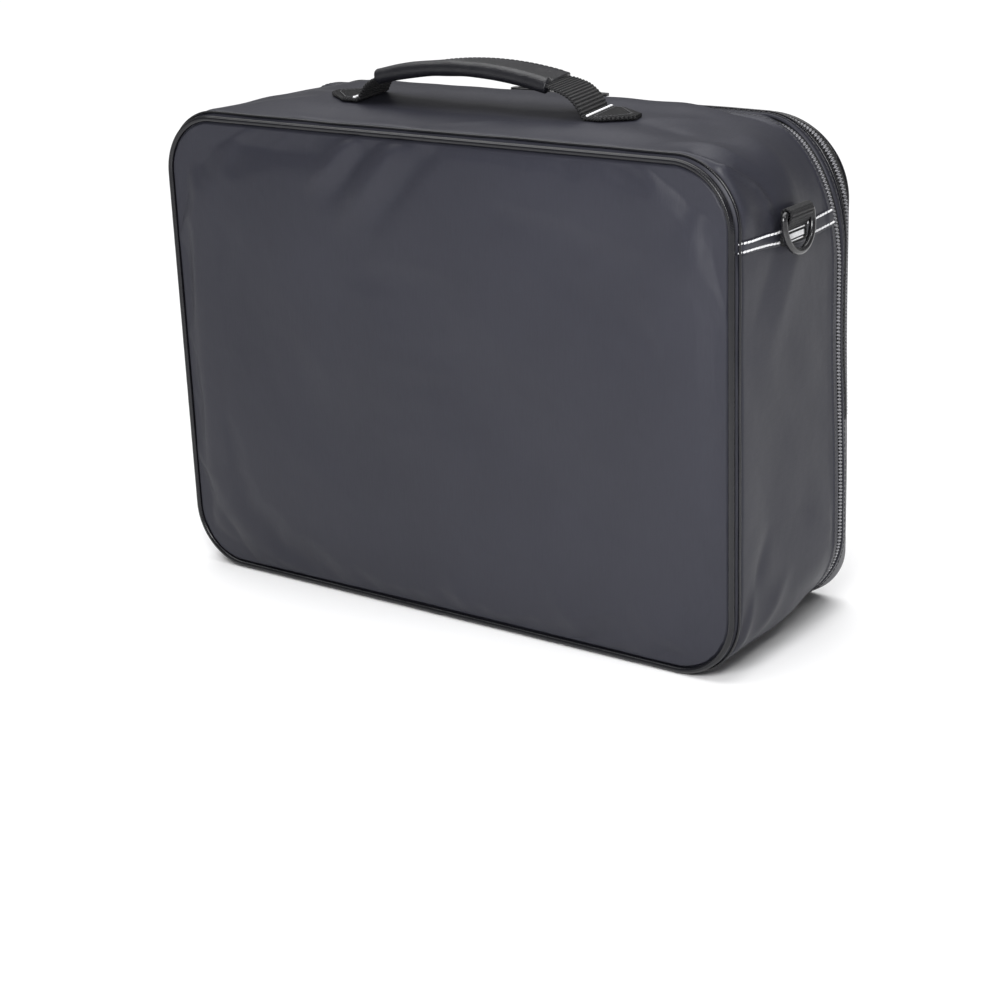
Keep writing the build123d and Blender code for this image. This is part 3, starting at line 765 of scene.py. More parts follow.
class CaseSizes(PropertyGroup):
    """Sizes of the soft parts that may be changed before the pieces are built."""

    back_swell: length_setting("Back swell", "How far the back panel stands out inside its piping", 0.0046)
    front_swell: length_setting("Front swell", "How far the front panel stands out inside its piping", 0.0022)
    back_slack: FloatProperty(
        name="Back slack", description="How much larger than its frame the back cloth is cut",
        default=0.004, subtype="FACTOR", min=0, max=0.05,
    )
    cloth_cap: length_setting("Cloth cap", "The furthest that the simulated cloth may move", 0.0014)
    tooth_pitch: length_setting("Tooth pitch", "From one zip tooth to the next on the other side", 0.00105)
    stitch_length: length_setting("Stitch length", "Length of one white stitch", 0.0034)
    stitch_pitch: length_setting("Stitch pitch", "From one stitch to the next", 0.0036)
    rib_pitch: length_setting("Rib pitch", "From rib to rib along the handle's webbing", 0.0021)
    rib_height: length_setting("Rib height", "Height of the webbing's ribs", 0.00024)


class CaseColours(PropertyGroup):
    """Colours of the finishes, in linear light."""

    cover: colour_setting("Cover", "Coated twill of the panels and gussets", (0.0245, 0.025, 0.034))
    binding: colour_setting("Piping", "Bias strip round the piping", (0.006, 0.006, 0.008))
    webbing: colour_setting("Webbing", "Handle straps and ring loops", (0.004, 0.004, 0.005))
    grip: colour_setting("Grip", "Leatherette of the handle's sleeve", (0.007, 0.007, 0.0095))
    tape: colour_setting("Zip tape", "Woven tape of the zips", (0.004, 0.004, 0.0045))
    # The teeth's grey is partly painted highlight: it is set far lighter than the near-black tape so that the
    # rows of teeth read as glinting beads.
    teeth: colour_setting("Zip teeth", "Moulded teeth of the zips", (0.22, 0.22, 0.235))
    white_thread: colour_setting("White thread", "Topstitching and bar tacks", (0.86, 0.86, 0.88))
    dark_thread: colour_setting("Dark thread", "Stitching beside the zips", (0.02, 0.02, 0.025))
    ring: colour_setting("Ring", "Enamel of the D-rings", (0.006, 0.006, 0.007))
    slider: colour_setting("Slider", "Enamel of the zip sliders and pulls", (0.012, 0.012, 0.013))
    lining: colour_setting("Lining", "Woven lining", (0.03, 0.032, 0.037))
    foam: colour_setting("Foam", "Closed-cell foam in the walls", (0.09, 0.09, 0.1))
    board: colour_setting("Board", "Cloth over the base board", (0.04, 0.041, 0.046))
    elastic: colour_setting("Elastic", "Instrument loops", (0.012, 0.012, 0.014))
    divider: colour_setting("Divider", "Plush of the dividers", (0.05, 0.052, 0.06))
    floor: colour_setting("Floor", "Studio floor", (0.9, 0.9, 0.905))


def sizes():
    """The size settings."""
    return bpy.context.scene.case_sizes


def millimetres(setting):
    """A length setting in millimetres."""
    return getattr(sizes(), setting) / MM


MAKERS = {
    "cover": coated_twill,
    "binding": smooth_binding,
    "webbing": ribbed_webbing,
    "grip": leatherette,
    "tape": lambda name, colour: woven(name, colour, 0.0008, 0.8, 0.02),
    "teeth": lambda name, colour: moulded(name, colour, 0.2),
    "white_thread": twisted_thread,
    "dark_thread": twisted_thread,
    "ring": enamelled,
    "slider": lambda name, colour: enamelled(name, colour, 0.3),
    "lining": lambda name, colour: woven(name, colour, 0.001, 0.6, 0.3),
    "foam": cellular_foam,
    "board": lambda name, colour: woven(name, colour, 0.0013, 0.8, 0.2, 0.00012),
    "elastic": lambda name, colour: ribbed_webbing(name, colour, 0.0016, 0.7),
    "divider": brushed_plush,
    "floor": studio_floor,
}


def finish_named(name):
    """The material of a finish, made the first time it is asked for."""
    label = f"case_{name}"
    if label in bpy.data.materials:
        return bpy.data.materials[label]
    return MAKERS[name](label, tuple(getattr(bpy.context.scene.case_colours, name)))


def settle(piece, body, slot, *nodes):
    """Puts a finished piece on its body and lets it stand for its nodes, whose parts it hides. slot is not
    used.
    """
    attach(piece, body)
    return label_piece(piece, slot, *nodes)


def label_piece(piece, slot, *nodes):
    """Hides the nodes that a piece stands for. slot is not used."""
    if nodes:
        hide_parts(*nodes)
    return piece


def panel_edge(y, inset, rows, low=None):
    """The right edge of an upright panel at one depth, from the end of its bottom run, or a
    height if one is given, to the start of its top run: half widths and heights taken in by
    inset, evenly spaced."""
    u = np.linspace(0, 2, 1601)
    outward = unit(skin_axes(u, y)[2][:, ::2])
    x, z = (skin(u, y)[:, ::2] - outward * inset).T
    rising = (z > z.min() + 0.02) & (z < z.max() - 0.02)
    x = x[rising]
    z = z[rising]
    length = run_length(x, z)
    start = 0 if low is None else np.interp(low, z, length)
    way = np.linspace(start, length[-1], rows)
    return np.interp(way, length, x), np.interp(way, length, z)


def panel_points(y, inset, rows, columns, low=None):
    """A flat panel as a grid: each row runs across between the panel's two edges, with its
    points closer together towards the ends."""
    half, height = panel_edge(y, inset, rows, low)
    across = np.sin(np.linspace(-1, 1, columns) * math.pi / 2 * 0.9) / math.sin(math.pi / 2 * 0.9)
    x = half[:, None] * across
    return np.stack([x, np.full_like(x, y), np.broadcast_to(height[:, None], x.shape)], axis=-1)


def edge_distance(points, y, inset):
    """How far each point of a panel is from the panel's outline: the least distance to the
    outline's points, found row by row."""
    u = np.linspace(-2, 2, 700)
    outward = unit(skin_axes(u, y)[2][:, ::2])
    outline = skin(u, y)[:, ::2] - outward * inset
    flat = points[..., ::2]
    return np.stack([np.sqrt(((row[:, None] - outline) ** 2).sum(-1)).min(1) for row in flat])


# Folds of the back panel as (x, z) from where they start to where they die out, then width, height
BACK_FOLDS = (
    (((-158, 280), (-112, 279), (-70, 276)), 6.0, -0.9),
    (((-50, 286), (-66, 270), (-88, 250)), 6.5, 3.4),
    (((-36, 286), (-54, 264), (-76, 240)), 5.5, -2.6),
    (((-18, 284), (-40, 258), (-66, 226)), 7.5, 3.2),
    (((4, 284), (-16, 258), (-40, 230)), 8.0, -1.8),
    (((-136, 279), (-90, 275), (-50, 272)), 8.0, -1.8),
    (((186, 282), (150, 236)), 12.0, -1.6),
    (((190, 262), (168, 214)), 9.0, 1.4),
    (((188, 24), (150, 62)), 11.0, -1.5),
    (((176, 12), (128, 40)), 9.0, 1.4),
    (((-186, 280), (-150, 240)), 12.0, -1.4),
    (((-188, 22), (-150, 66)), 10.0, 1.3),
    (((100, 10), (76, 44)), 9.0, 1.1),
    (((20, 8), (2, 36)), 8.0, 0.9),
)
PANEL_THICKNESS = 1.0
SWELL_REACH = 17
TROUGH_INSET = 10
PANEL_EDGE_DEPTH = 0.3
LEAST_RISE = 0.5
LAYER_INSET = 4.7


def swollen_panel(y, swell, folds, facing, seed, rows, columns):
    """A piped panel's cover. It stands out by swell * (1 - exp(-d / SWELL_REACH)), where d is
    the distance from its outline, with a groove against the piping, folds, a shallow trough
    inside the sides and a soft unevenness. Over its padding it rises LEAST_RISE at least.
    facing is the way it looks along Y."""
    inset = PIPING_RADIUS
    points = panel_points(y, inset, rows, columns)
    gap = edge_distance(points, y, inset)
    flat = points[..., ::2]
    rise = swell * (1 - np.exp(-gap / SWELL_REACH)) - PANEL_EDGE_DEPTH - 1.9 * bump(gap, 1.9, 1.5)
    rise += sum(crease(flat, *fold) for fold in folds) * smooth(gap, 1, 9)
    rise -= 0.9 * bump(gap, TROUGH_INSET, 5) * smooth(np.abs(flat[..., 0]), 120, 185) * swell / 5
    rise += 0.5 * wander(flat[..., 0], flat[..., 1], seed, 150) * smooth(gap, 4, 30) * swell / 5
    rise = np.where(gap > LAYER_INSET - PIPING_RADIUS, np.maximum(rise, LEAST_RISE), rise)
    points[..., 1] += facing * rise
    return points


CLOTH_FRAMES = 14
CLOTH_SETTINGS = {
    "quality": 5,
    "mass": 0.25,
    "tension_stiffness": 25,
    "compression_stiffness": 12,
    "shear_stiffness": 6,
    "bending_stiffness": 14,
    "use_pressure": True,
    "uniform_pressure_force": 1.2,
}


def cloth_settle(piece, shape, pinned, slack, cap, deepest):
    """Lets a cover settle as cloth: simulated with its rim pinned, cut slightly larger than its
    frame, under a light pressure from its padding. Each point's move is the mean of its own and
    its neighbours', no longer than cap, and none sinks past the depth of its padding."""
    mesh = piece.data
    count = len(mesh.vertices)
    before = np.empty(count * 3)
    mesh.vertices.foreach_get("co", before)
    before = before.reshape(-1, 3)
    group = piece.vertex_groups.new(name="pinned")
    group.add(np.flatnonzero(pinned).tolist(), 1.0, "REPLACE")
    cloth = piece.modifiers.new("Settle", "CLOTH")
    options = cloth.settings
    for setting, value in CLOTH_SETTINGS.items():
        setattr(options, setting, value)
    options.shrink_min = -slack
    options.effector_weights.gravity = 0
    options.vertex_group_mass = "pinned"
    cloth.point_cache.frame_start = 1
    cloth.point_cache.frame_end = CLOTH_FRAMES
    scene = bpy.context.scene
    for number in range(1, CLOTH_FRAMES + 1):
        scene.frame_set(number)
    settled = piece.evaluated_get(bpy.context.evaluated_depsgraph_get())
    after = np.empty(count * 3)
    settled.data.vertices.foreach_get("co", after)
    piece.modifiers.remove(cloth)
    piece.vertex_groups.remove(group)
    scene.frame_set(1)
    move = neighbour_mean((after.reshape(-1, 3) - before).reshape(*shape, 3)).reshape(-1, 3)
    size = np.linalg.norm(move, axis=1, keepdims=True)
    after = before + move * np.minimum(1, cap / np.maximum(size, 1e-12))
    after[:, 1] = np.minimum(after[:, 1], np.maximum(before[:, 1], deepest))
    mesh.vertices.foreach_set("co", after.astype(np.float32).ravel())
    mesh.update()


def neighbour_mean(grid):
    """Each inner entry of a grid becomes the mean of the nine around and on it."""
    rows, columns = grid.shape[:2]
    mean = grid.copy()
    mean[1:-1, 1:-1] = sum(
        grid[i:rows - 2 + i, j:columns - 2 + j] for i in range(3) for j in range(3)
    ) / 9
    return mean


def add_panel_layer(name, y, inward, start, thickness, inset, material, low=None, rows=40, columns=60):
    """A flat inner layer of a panel: a slab from start to start + thickness inward of a rim."""
    near = panel_points(y, inset, rows, columns, low)
    far_side = near.copy()
    near[..., 1] = y + inward * start
    far_side[..., 1] = y + inward * (start + thickness)
    return add_slab(name, near, far_side, material)


def rim_line(y, inset, count):
    """A closed line round the outline at one depth, taken in by inset, and its outward way."""
    u = np.linspace(-2, 2, count, endpoint=False)
    outward = skin_axes(u, y)[2]
    outward[:, 1] = 0
    outward = unit(outward)
    return skin(u, y) - outward * inset, outward


PIPING_SHOWN_RADIUS = 1.8
PIPING_SIDES = 36


def add_piping(name, y, joint_x):
    """Piping: a circle carried round the rim, pressed in along a crease that faces outwards
    and away from the case, thicker where its two ends lap at joint_x on the bottom run, and
    slightly uneven as its strip wraps the cord."""
    path, outward = rim_line(y, PIPING_RADIUS - 0.2, 900)
    angle = np.arange(PIPING_SIDES) * TAU / PIPING_SIDES
    crease_angle = math.copysign(TAU / 8, y) % TAU
    radius = PIPING_SHOWN_RADIUS * (1 - 0.1 * bump(angle, crease_angle, 0.22))
    ring = circle(PIPING_SIDES) * radius[:, None]
    lapped = smooth(path[:, 0], joint_x - 5, joint_x - 4.4) - smooth(path[:, 0], joint_x + 3, joint_x + 4)
    lap = np.where(path[:, 2] < 10, 1 + 0.1 * lapped, 1)
    uneven = 1 + 0.015 * wander(path[:, 0], path[:, 2], 5, 14)
    profile = ring[None] * (lap * uneven)[:, None, None]
    along = everywhere((0, 1, 0), outward)
    return add_sweep(name, path, outward, along, profile, finish_named("binding"), closed=True)


def add_bead(name, point, u, y, body):
    """A thin rolled edge: a circle carried along the surface that point gives, at u and y."""
    path = point(u, y, BEAD_RADIUS * 0.3)
    across, outward = skin_axes(u, y)[1:]
    bound = add_sweep(name, path, across, outward, circle(10) * BEAD_RADIUS, finish_named("binding"))
    return settle(bound, body, "piping")


# The back panel's layers, from its rim inwards: where each starts and how thick it is
FOAM_START = 0.9
FOAM_THICKNESS = 3.0
LINING_START = 4.1
LINING_THICKNESS = 0.6
CLOTH_CLEARANCE = 0.5


class BackPanel(Operator):
    """Builds the padded back panel with its piping."""

    bl_idname = "case.back_panel"
    bl_label = "Back panel"
    bl_options = {"REGISTER", "UNDO"}

    def execute(self, context):
        rows, columns = 150, 200
        points = swollen_panel(BACK_RIM_Y, millimetres("back_swell"), BACK_FOLDS, -1, 11, rows, columns)
        flat = points[..., ::2]
        cover = add_sheet("back_cover", points, finish_named("cover"), (0, -1, 0), uv=flat)
        rim = edge_distance(points, BACK_RIM_Y, PIPING_RADIUS).ravel() < 2.5
        deepest = (BACK_RIM_Y - CLOTH_CLEARANCE) * MM
        cloth_settle(cover, (rows, columns), rim, sizes().back_slack, sizes().cloth_cap, deepest)
        thicken(cover, PANEL_THICKNESS)
        settle(cover, "shell", "cover", "back_panel")
        settle(add_piping("back_welt", BACK_RIM_Y, -7), "shell", "piping", "back_piping")
        foam = add_panel_layer(
            "back_foam_pad", BACK_RIM_Y, 1, FOAM_START, FOAM_THICKNESS, LAYER_INSET, finish_named("foam")
        )
        settle(foam, "shell", "foam", "back_foam")
        lining = add_panel_layer(
            "back_lining_cloth", BACK_RIM_Y, 1, LINING_START, LINING_THICKNESS, LAYER_INSET,
            finish_named("lining"),
        )
        settle(lining, "shell", "lining", "back_lining")
        return {"FINISHED"}


def u_at(height=None, x=None, y=0.0):
    """The u on the right side where the outline reaches a height, or, on the bottom run and
    the corner after it, a distance from the middle."""
    u = np.linspace(0, 2, 4001)
    points = skin(u, y)
    if x is not None:
        low = u < 0.6
        return float(np.interp(x, points[low, 0], u[low]))
    return float(np.interp(height, points[:, 2], u))


# How strongly the gusset covers' columns gather towards their edges
EDGE_GATHER = 0.85


def skin_grid(u_start, u_end, rows, y_start, y_end, columns, gather=0.0):
    """A grid of u (rows) and y (columns). y_start and y_end may change from row to row. gather
    draws the columns towards both edges, 0 for even ones and 1 for half a cosine wave."""
    u = np.linspace(u_start, u_end, rows)
    even = np.linspace(0, 1, columns)
    share = even * (1 - gather) + gather * (1 - np.cos(math.pi * even)) / 2
    start = np.broadcast_to(y_start, rows)[:, None]
    end = np.broadcast_to(y_end, rows)[:, None]
    return np.broadcast_to(u[:, None], (rows, columns)), start + (end - start) * share


SLIDE_HALF = 158.0
SLIDE_RAMP = 20.0
EDGE_REACH = 2.7
BASE_FOLD_Y = FRONT_RIM_Y - PIPING_RADIUS - 0.2
BASE_TAB_HALF = HINGE_HALF - 1.5
BASE_TAB_ROUND = 3.0


def base_tab(u, reach):
    """1 on the base as far as the tab that runs to the lid's fold, and 0 beyond reach past it."""
    points = skin(u, GUSSET_FRONT_Y)
    x = np.abs(points[..., 0])
    return (1 - smooth(x, BASE_TAB_HALF - BASE_TAB_ROUND, BASE_TAB_HALF + reach)) * (points[..., 2] < 20)


def lower_front_edge(u):
    """Where the lining ends towards the front: at the main zip, and on the base at the lid's
    fold, with a tab corner of BASE_TAB_ROUND between."""
    return GUSSET_FRONT_Y + (BASE_FOLD_Y - GUSSET_FRONT_Y) * base_tab(u, 0)


def clear_of_slides(points):
    """0 on the top run that the sliders use and 1 elsewhere, with a ramp between."""
    on_top = smooth(points[..., 2], SEAM_Z, SEAM_Z + SLIDE_RAMP)
    return 1 - on_top * (1 - smooth(np.abs(points[..., 0]), SLIDE_HALF, SLIDE_HALF + SLIDE_RAMP))


def gusset_front_edge(u):
    """Where the gusset's cloth ends towards the front: as the lining does, and nearer to the
    teeth away from the sliders' run, but not on the base."""
    points = skin(u, GUSSET_FRONT_Y)
    closer = EDGE_REACH * clear_of_slides(points) * smooth(points[..., 2], 2, 12)
    return lower_front_edge(u) + closer


HEM_WIDTH = 6.0
HEM_HEIGHT = 0.5


def rolled_under(from_edge, reach, depth):
    """How far cloth sinks as it rolls under at an edge: depth * (1 - from_edge / reach)^2."""
    return depth * np.clip(1 - from_edge / reach, 0, 1) ** 2


def folded_edge(y, edge_y):
    """The lift of a hem: the cloth is double for its last HEM_WIDTH, and rolls under at its edge."""
    from_edge = edge_y - y
    hem = HEM_HEIGHT * (1 - smooth(from_edge, HEM_WIDTH - 1.2, HEM_WIDTH))
    return hem - rolled_under(from_edge, 0.9, 1.4)


GUSSET_THICKNESS = 1.2
# The gusset's inner layers: where they start behind the back panel's, and how far their faces
# lie from the plain outline, nearer to it by LAYER_TAPER beside the zip
LAYERS_BACK_Y = BACK_RIM_Y + LINING_START + LINING_THICKNESS + 0.4
FOAM_OUTER_LIFT = -1.7
FOAM_INNER_LIFT = -4.6
LINING_LIFT = -4.85
LAYER_TAPER = 2.2
CROWN_PAD_HALF = 150.0
STITCH_ROWS = (-3.35, 3.35)
SEAM_STRIP_HALF = 5.0
TOPSTITCH_WIDTH = 1.3
TOPSTITCH_HEIGHT = 0.9


class Gussets(Operator):
    """Builds the upper and lower gussets with the padded crown, foam and lining."""

    bl_idname = "case.gussets"
    bl_label = "Gussets"
    bl_options = {"REGISTER", "UNDO"}

    def execute(self, context):
        cloth = finish_named("cover")
        rows = 340
        edge = gusset_front_edge(np.linspace(1, 3, rows))
        u, y = skin_grid(1, 3, rows, GUSSET_BACK_Y, edge, 132, EDGE_GATHER)
        points = gusset_point(u, y, folded_edge(y, edge[:, None]))
        upper = add_sheet("gusset_upper_cover", points, cloth, skin_axes(u, y)[2], GUSSET_THICKNESS)
        settle(upper, "shell", "cover", "gusset_upper")
        flat = (self.round_length(1, 3), self.depth())
        rows = 430
        edge = gusset_front_edge(np.linspace(-1, 1, rows))
        u, y = skin_grid(-1, 1, rows, GUSSET_BACK_Y, edge, 108, EDGE_GATHER)
        lift = folded_edge(y, edge[:, None]) * smooth(gusset_point(u, y)[..., 2], 3, 12)
        points = gusset_point(u, y, lift)
        points[..., 2] = np.maximum(points[..., 2], 0)
        lower = add_sheet("gusset_lower_cover", points, cloth, skin_axes(u, y)[2], GUSSET_THICKNESS)
        settle(lower, "shell", "cover", "gusset_lower")
        length = self.round_length(-1, 1)
        area = length * self.depth() + 2 * BASE_TAB_HALF * MM * (BASE_FOLD_Y - GUSSET_FRONT_Y) * MM
        (BASE_FOLD_Y - GUSSET_BACK_Y) * MM
        low = u_at(x=HINGE_HALF, y=BACK_RIM_Y)
        u = np.linspace(low, 4 - low, 1100)
        add_bead("back_seam_bead", lid_point, u, np.full_like(u, BACK_RIM_Y + BEAD_FROM_RIM), "shell")
        self.build_foam()
        self.build_crown_pad()
        self.build_lining()
        return {"FINISHED"}

    def depth(self):
        """The gusset's cut width in metres."""
        return (GUSSET_FRONT_Y - GUSSET_BACK_Y) * MM

    def round_length(self, start, end):
        """The gusset's length in metres between two values of u."""
        return float(run_length(*skin(np.linspace(start, end, 900), 0).T)[-1]) * MM

    def build_foam(self):
        """The gusset foam behind the cover, thinner towards the zip. It ends short of the lining's turn."""
        for name, node, u_start, u_end in (
            ("gusset_upper_foam", "gusset_foam_upper", 1, 3),
            ("gusset_lower_foam", "gusset_foam_lower", -1, 1),
        ):
            u, y = skin_grid(u_start, u_end, 220, LAYERS_BACK_Y, GUSSET_FRONT_Y - 3.2, 40)
            thin = smooth(y, GUSSET_FRONT_Y - 11, GUSSET_FRONT_Y - 4)
            outer = inner_point(u, y, FOAM_OUTER_LIFT)
            inner = inner_point(u, y, FOAM_INNER_LIFT + LAYER_TAPER * thin)
            foam = add_slab(name, outer, inner, finish_named("foam"))
            settle(foam, "shell", "foam", node)

    def build_crown_pad(self):
        """The crown's filling: a slab from the gusset's foam up to the raised cover."""
        x = np.linspace(-CROWN_PAD_HALF, CROWN_PAD_HALF, 150)
        y = np.linspace(GUSSET_BACK_Y + 5, GUSSET_FRONT_Y - 2, 60)
        x, y = np.meshgrid(x, y, indexing="ij")
        top = BODY_TOP + np.maximum(crown_rise(x, y) - 1.8, -1.3) - 0.3
        outer = np.stack([x, y, top], axis=-1)
        inner = np.stack([x, y, np.full_like(x, BODY_TOP - 1.75)], axis=-1)
        pad = add_slab("crown_padding", outer, inner, finish_named("foam"))
        settle(pad, "shell", "foam", "crown_pad")

    def build_lining(self):
        """The lining round the compartment, turned up to the zip's tape at its front edge."""
        rows = 560
        edge = lower_front_edge(np.linspace(-2, 2, rows)) + 0.8
        u, y = skin_grid(-2, 2, rows, LAYERS_BACK_Y, edge, 50)
        turn = smooth(y, GUSSET_FRONT_Y - 6, GUSSET_FRONT_Y - 0.5) * (edge[:, None] < GUSSET_FRONT_Y + 2)
        points = inner_point(u, y, LINING_LIFT + LAYER_TAPER * turn)
        lining = add_sheet("gusset_lining_cloth", points, finish_named("lining"), -skin_axes(u, y)[2])
        thicken(lining, 0.5)
        settle(lining, "shell", "lining", "gusset_lining")


def inner_point(u, y, lift):
    """A point of a layer behind the gusset's cover: the plain outline lowered, and lowered
    further where a fold of the cover goes in."""
    points = skin(u, y)
    outward = skin_axes(u, y)[2]
    folds = sum(crease(points, *fold) for fold in GUSSET_FOLDS)
    return points + outward * (np.minimum(folds, 0) + lift)[..., None]


# The seam rises from under the handle's front to the back, over SEAM_RISE_RUN of depth
SEAM_RISE = 4.2
SEAM_RISE_START = HANDLE_Y + 14
SEAM_RISE_RUN = 62


def seam_line(side, count, y_start, y_end, offset, lift):
    """Points along a side seam, at a distance above it, raised by lift, with the ways along the
    seam and outwards. The seam rises by SEAM_RISE towards the back."""
    y = np.linspace(y_start, y_end, count)
    rise = SEAM_RISE * np.clip((SEAM_RISE_START - y) / SEAM_RISE_RUN, 0, 1)
    u = side * shift_round(np.ones(count), y, offset + rise)
    _, along, outward = skin_axes(u, y)
    return gusset_point(u, y, lift), along, outward


class SideSeams(Operator):
    """Builds the raised strips over the side seams and their white topstitching."""

    bl_idname = "case.side_seams"
    bl_label = "Side seams"
    bl_options = {"REGISTER", "UNDO"}

    def execute(self, context):
        strip_offsets = np.linspace(-SEAM_STRIP_HALF, SEAM_STRIP_HALF, 21)
        shell_lift = 1.0 - 0.35 * sum(bump(strip_offsets, row, 0.9) for row in STITCH_ROWS)
        shell_lift -= 0.75 * smooth(np.abs(strip_offsets), SEAM_STRIP_HALF - 0.7, SEAM_STRIP_HALF)
        y_start = GUSSET_BACK_Y + 2.0
        y_end = GUSSET_FRONT_Y + EDGE_REACH - 0.4
        count = int((y_end - y_start) / millimetres("stitch_pitch"))
        for side, name in ((1, "right"), (-1, "left")):
            rows = [
                seam_line(side, 120, y_start, y_end, offset, lift)[0]
                for offset, lift in zip(strip_offsets, shell_lift)
            ]
            nodes = ("side_seam_strips",) if side > 0 else ()
            strip = add_sheet(f"seam_strip_{name}", np.stack(rows), finish_named("cover"), (side, 0, 0), 0.8)
            settle(strip, "shell", "cover", *nodes)
            placed = [seam_line(side, count, y_start + 1.6, y_end - 1.8, row, 1.0) for row in STITCH_ROWS]
            origins, along, outward = (np.concatenate(parts) for parts in zip(*placed))
            shape = bead(millimetres("stitch_length"), TOPSTITCH_WIDTH, TOPSTITCH_HEIGHT)
            stitches = scatter(
                f"seam_stitches_{name}", shape, origins, along, outward, finish_named("white_thread")
            )
            settle(stitches, "shell", "piping")
        return {"FINISHED"}


# Zips: lifts of the tape and the teeth, and how wide a tooth is across the zip
TAPE_LIFT = -1.7
TOOTH_LIFT = -1.7
TOOTH_HEIGHT = 2.1
TOOTH_LENGTH = 2.7
TOOTH_WIDTH = 1.0
TOOTH_CENTRE = 0.95
TOOTH_RAISE = 1.6
FRONT_TEETH_DROP = 0.25
GAP_TOOTH_CENTRE = 1.35
GAP_TOOTH_LENGTH = 2.3
STUB_TOOTH_CENTRE = 2.0
STUB_TOOTH_LENGTH = 1.1
ZIP_END_X = 163.0
TOP_RUN_Z = 200
# How far above the lid's fold the pocket zip's lid tape, its teeth and its flap tape start
POCKET_ZIP_STARTS = (-3.0, 1.5, -2.5)


def even_u(u_start, u_end, y, count, shift=0.0):
    """Values of u evenly spaced by length along the outline at a depth, with a shift in steps."""
    fine = np.linspace(u_start, u_end, 6000)
    length = run_length(*skin(fine, y).T)
    return np.interp((np.arange(count) + 0.5 + shift) / count * length[-1], length, fine)


def add_teeth(name, y_zip, side, ends, phase):
    """The teeth of one half of a zip. Along the top run, where the sliders' necks pass, they
    draw back from the middle, and elsewhere they mesh with the other half's."""
    fine = skin(np.linspace(*ends, 3000), y_zip)
    count = int(run_length(*fine.T)[-1] / (2 * millimetres("tooth_pitch")))
    u = even_u(*ends, y_zip, count, phase)
    at = skin(u, y_zip)
    on_top = (at[:, 2] > TOP_RUN_Z) & (np.abs(at[:, 0]) < SLIDE_HALF)
    slide_centre = GAP_TOOTH_CENTRE if side < 0 else STUB_TOOTH_CENTRE
    slide_length = GAP_TOOTH_LENGTH if side < 0 else STUB_TOOTH_LENGTH
    centre = y_zip + side * np.where(on_top, slide_centre, TOOTH_CENTRE)
    length = np.where(on_top, slide_length, TOOTH_LENGTH) / TOOTH_LENGTH
    _, across, outward = skin_axes(u, centre)
    lift = TOOTH_LIFT - FRONT_TEETH_DROP * (side > 0) + TOOTH_RAISE * clear_of_slides(at)
    origins = skin(u, centre) + outward * lift[:, None]
    shape = bead(TOOTH_LENGTH, TOOTH_WIDTH, TOOTH_HEIGHT)
    return scatter(name, shape, origins, across * length[:, None], outward, finish_named("teeth"))


def add_tape(name, y_zip, side, ends, tape_end):
    """One half's tape: a strip behind the teeth, thicker in a cord along its inner edge."""
    u, y = skin_grid(*ends, 620, y_zip + side * 1.9, tape_end, 12)
    points = skin(u, y)
    outward = skin_axes(u, y)[2]
    lift = TAPE_LIFT - 0.35 + 0.55 * bump(y, y_zip + side * 3.0, 0.9)
    lift += 0.7 * TOOTH_RAISE * clear_of_slides(points)
    points = points + outward * lift[..., None]
    return add_sheet(name, points, finish_named("tape"), outward, 0.6)


DARK_STITCH_LENGTH = 2.7
DARK_STITCH_PITCH = 3.3
DARK_STITCH_WIDTH = 0.6


def add_stitch_row(name, point, edge, inset, ends, body):
    """A row of dark stitches round the case, an inset from an edge that changes with u, on the
    surface that point gives."""
    fine = skin(np.linspace(*ends, 3000), MAIN_ZIP_Y)
    count = int(run_length(*fine.T)[-1] / DARK_STITCH_PITCH)
    u = even_u(*ends, MAIN_ZIP_Y, count)
    y = edge(u) - inset
    round_it, _, outward = skin_axes(u, y)
    origins = point(u, y, 0.5)
    shape = bead(DARK_STITCH_LENGTH, DARK_STITCH_WIDTH, 0.55)
    row = scatter(name, shape, origins, round_it, outward, finish_named("dark_thread"))
    return settle(row, body, "zip")


class Zips(Operator):
    """Builds both zips: tapes, teeth and the stitching beside them."""

    bl_idname = "case.zips"
    bl_label = "Zips"
    bl_options = {"REGISTER", "UNDO"}

    def execute(self, context):
        main_start = u_at(x=ZIP_END_X, y=MAIN_ZIP_Y)
        lid_start, teeth_start, flap_start = (
            u_at(height=FOLD_Z + above, y=POCKET_ZIP_Y) for above in POCKET_ZIP_STARTS
        )
        main = (main_start, 4 - main_start)
        teeth_ends = (teeth_start, 4 - teeth_start)
        halves = (
            (
                "main_zip_body_half", MAIN_ZIP_Y, -1, main, main,
                GUSSET_FRONT_Y - 2.8, "shell", "main_zip_body",
            ),
            (
                "main_zip_lid_half", MAIN_ZIP_Y, 1, main, main,
                MAIN_ZIP_Y + 9.6, "lid", "main_zip_lid",
            ),
            (
                "pocket_zip_lid_half", POCKET_ZIP_Y, -1, teeth_ends, (lid_start, 4 - lid_start),
                MAIN_ZIP_Y + 10.2, "lid", "pocket_zip_lid",
            ),
            (
                "pocket_zip_flap_half", POCKET_ZIP_Y, 1, teeth_ends, (flap_start, 4 - flap_start),
                FRONT_RIM_Y - 1.6, "flap", "pocket_zip_flap",
            ),
        )
        for name, y_zip, side, teeth_run, tape_run, tape_end, body, node in halves:
            settle(add_tape(f"{name}_tape", y_zip, side, tape_run, tape_end), body, "zip", node)
            settle(add_teeth(f"{name}_teeth", y_zip, side, teeth_run, 0.25 * side), body, "zip")
        add_stitch_row("body_zip_stitches", gusset_point, gusset_front_edge, 4.4, main, "shell")
        add_stitch_row("lid_zip_stitches", lid_strip_point, strip_back_edge, -3.4, main, "lid")
        return {"FINISHED"}


LIP_Y = LID_BACK_Y + 1.1
LIP_HEIGHT = 0.4


def lid_strip_point(u, y, lift=0.0):
    """A point of the lid's strip: a rounded lip along its back edge beside the main zip, and
    an edge rolled under beside the pocket zip."""
    return lid_point(u, y, lift + lip_lift(y))


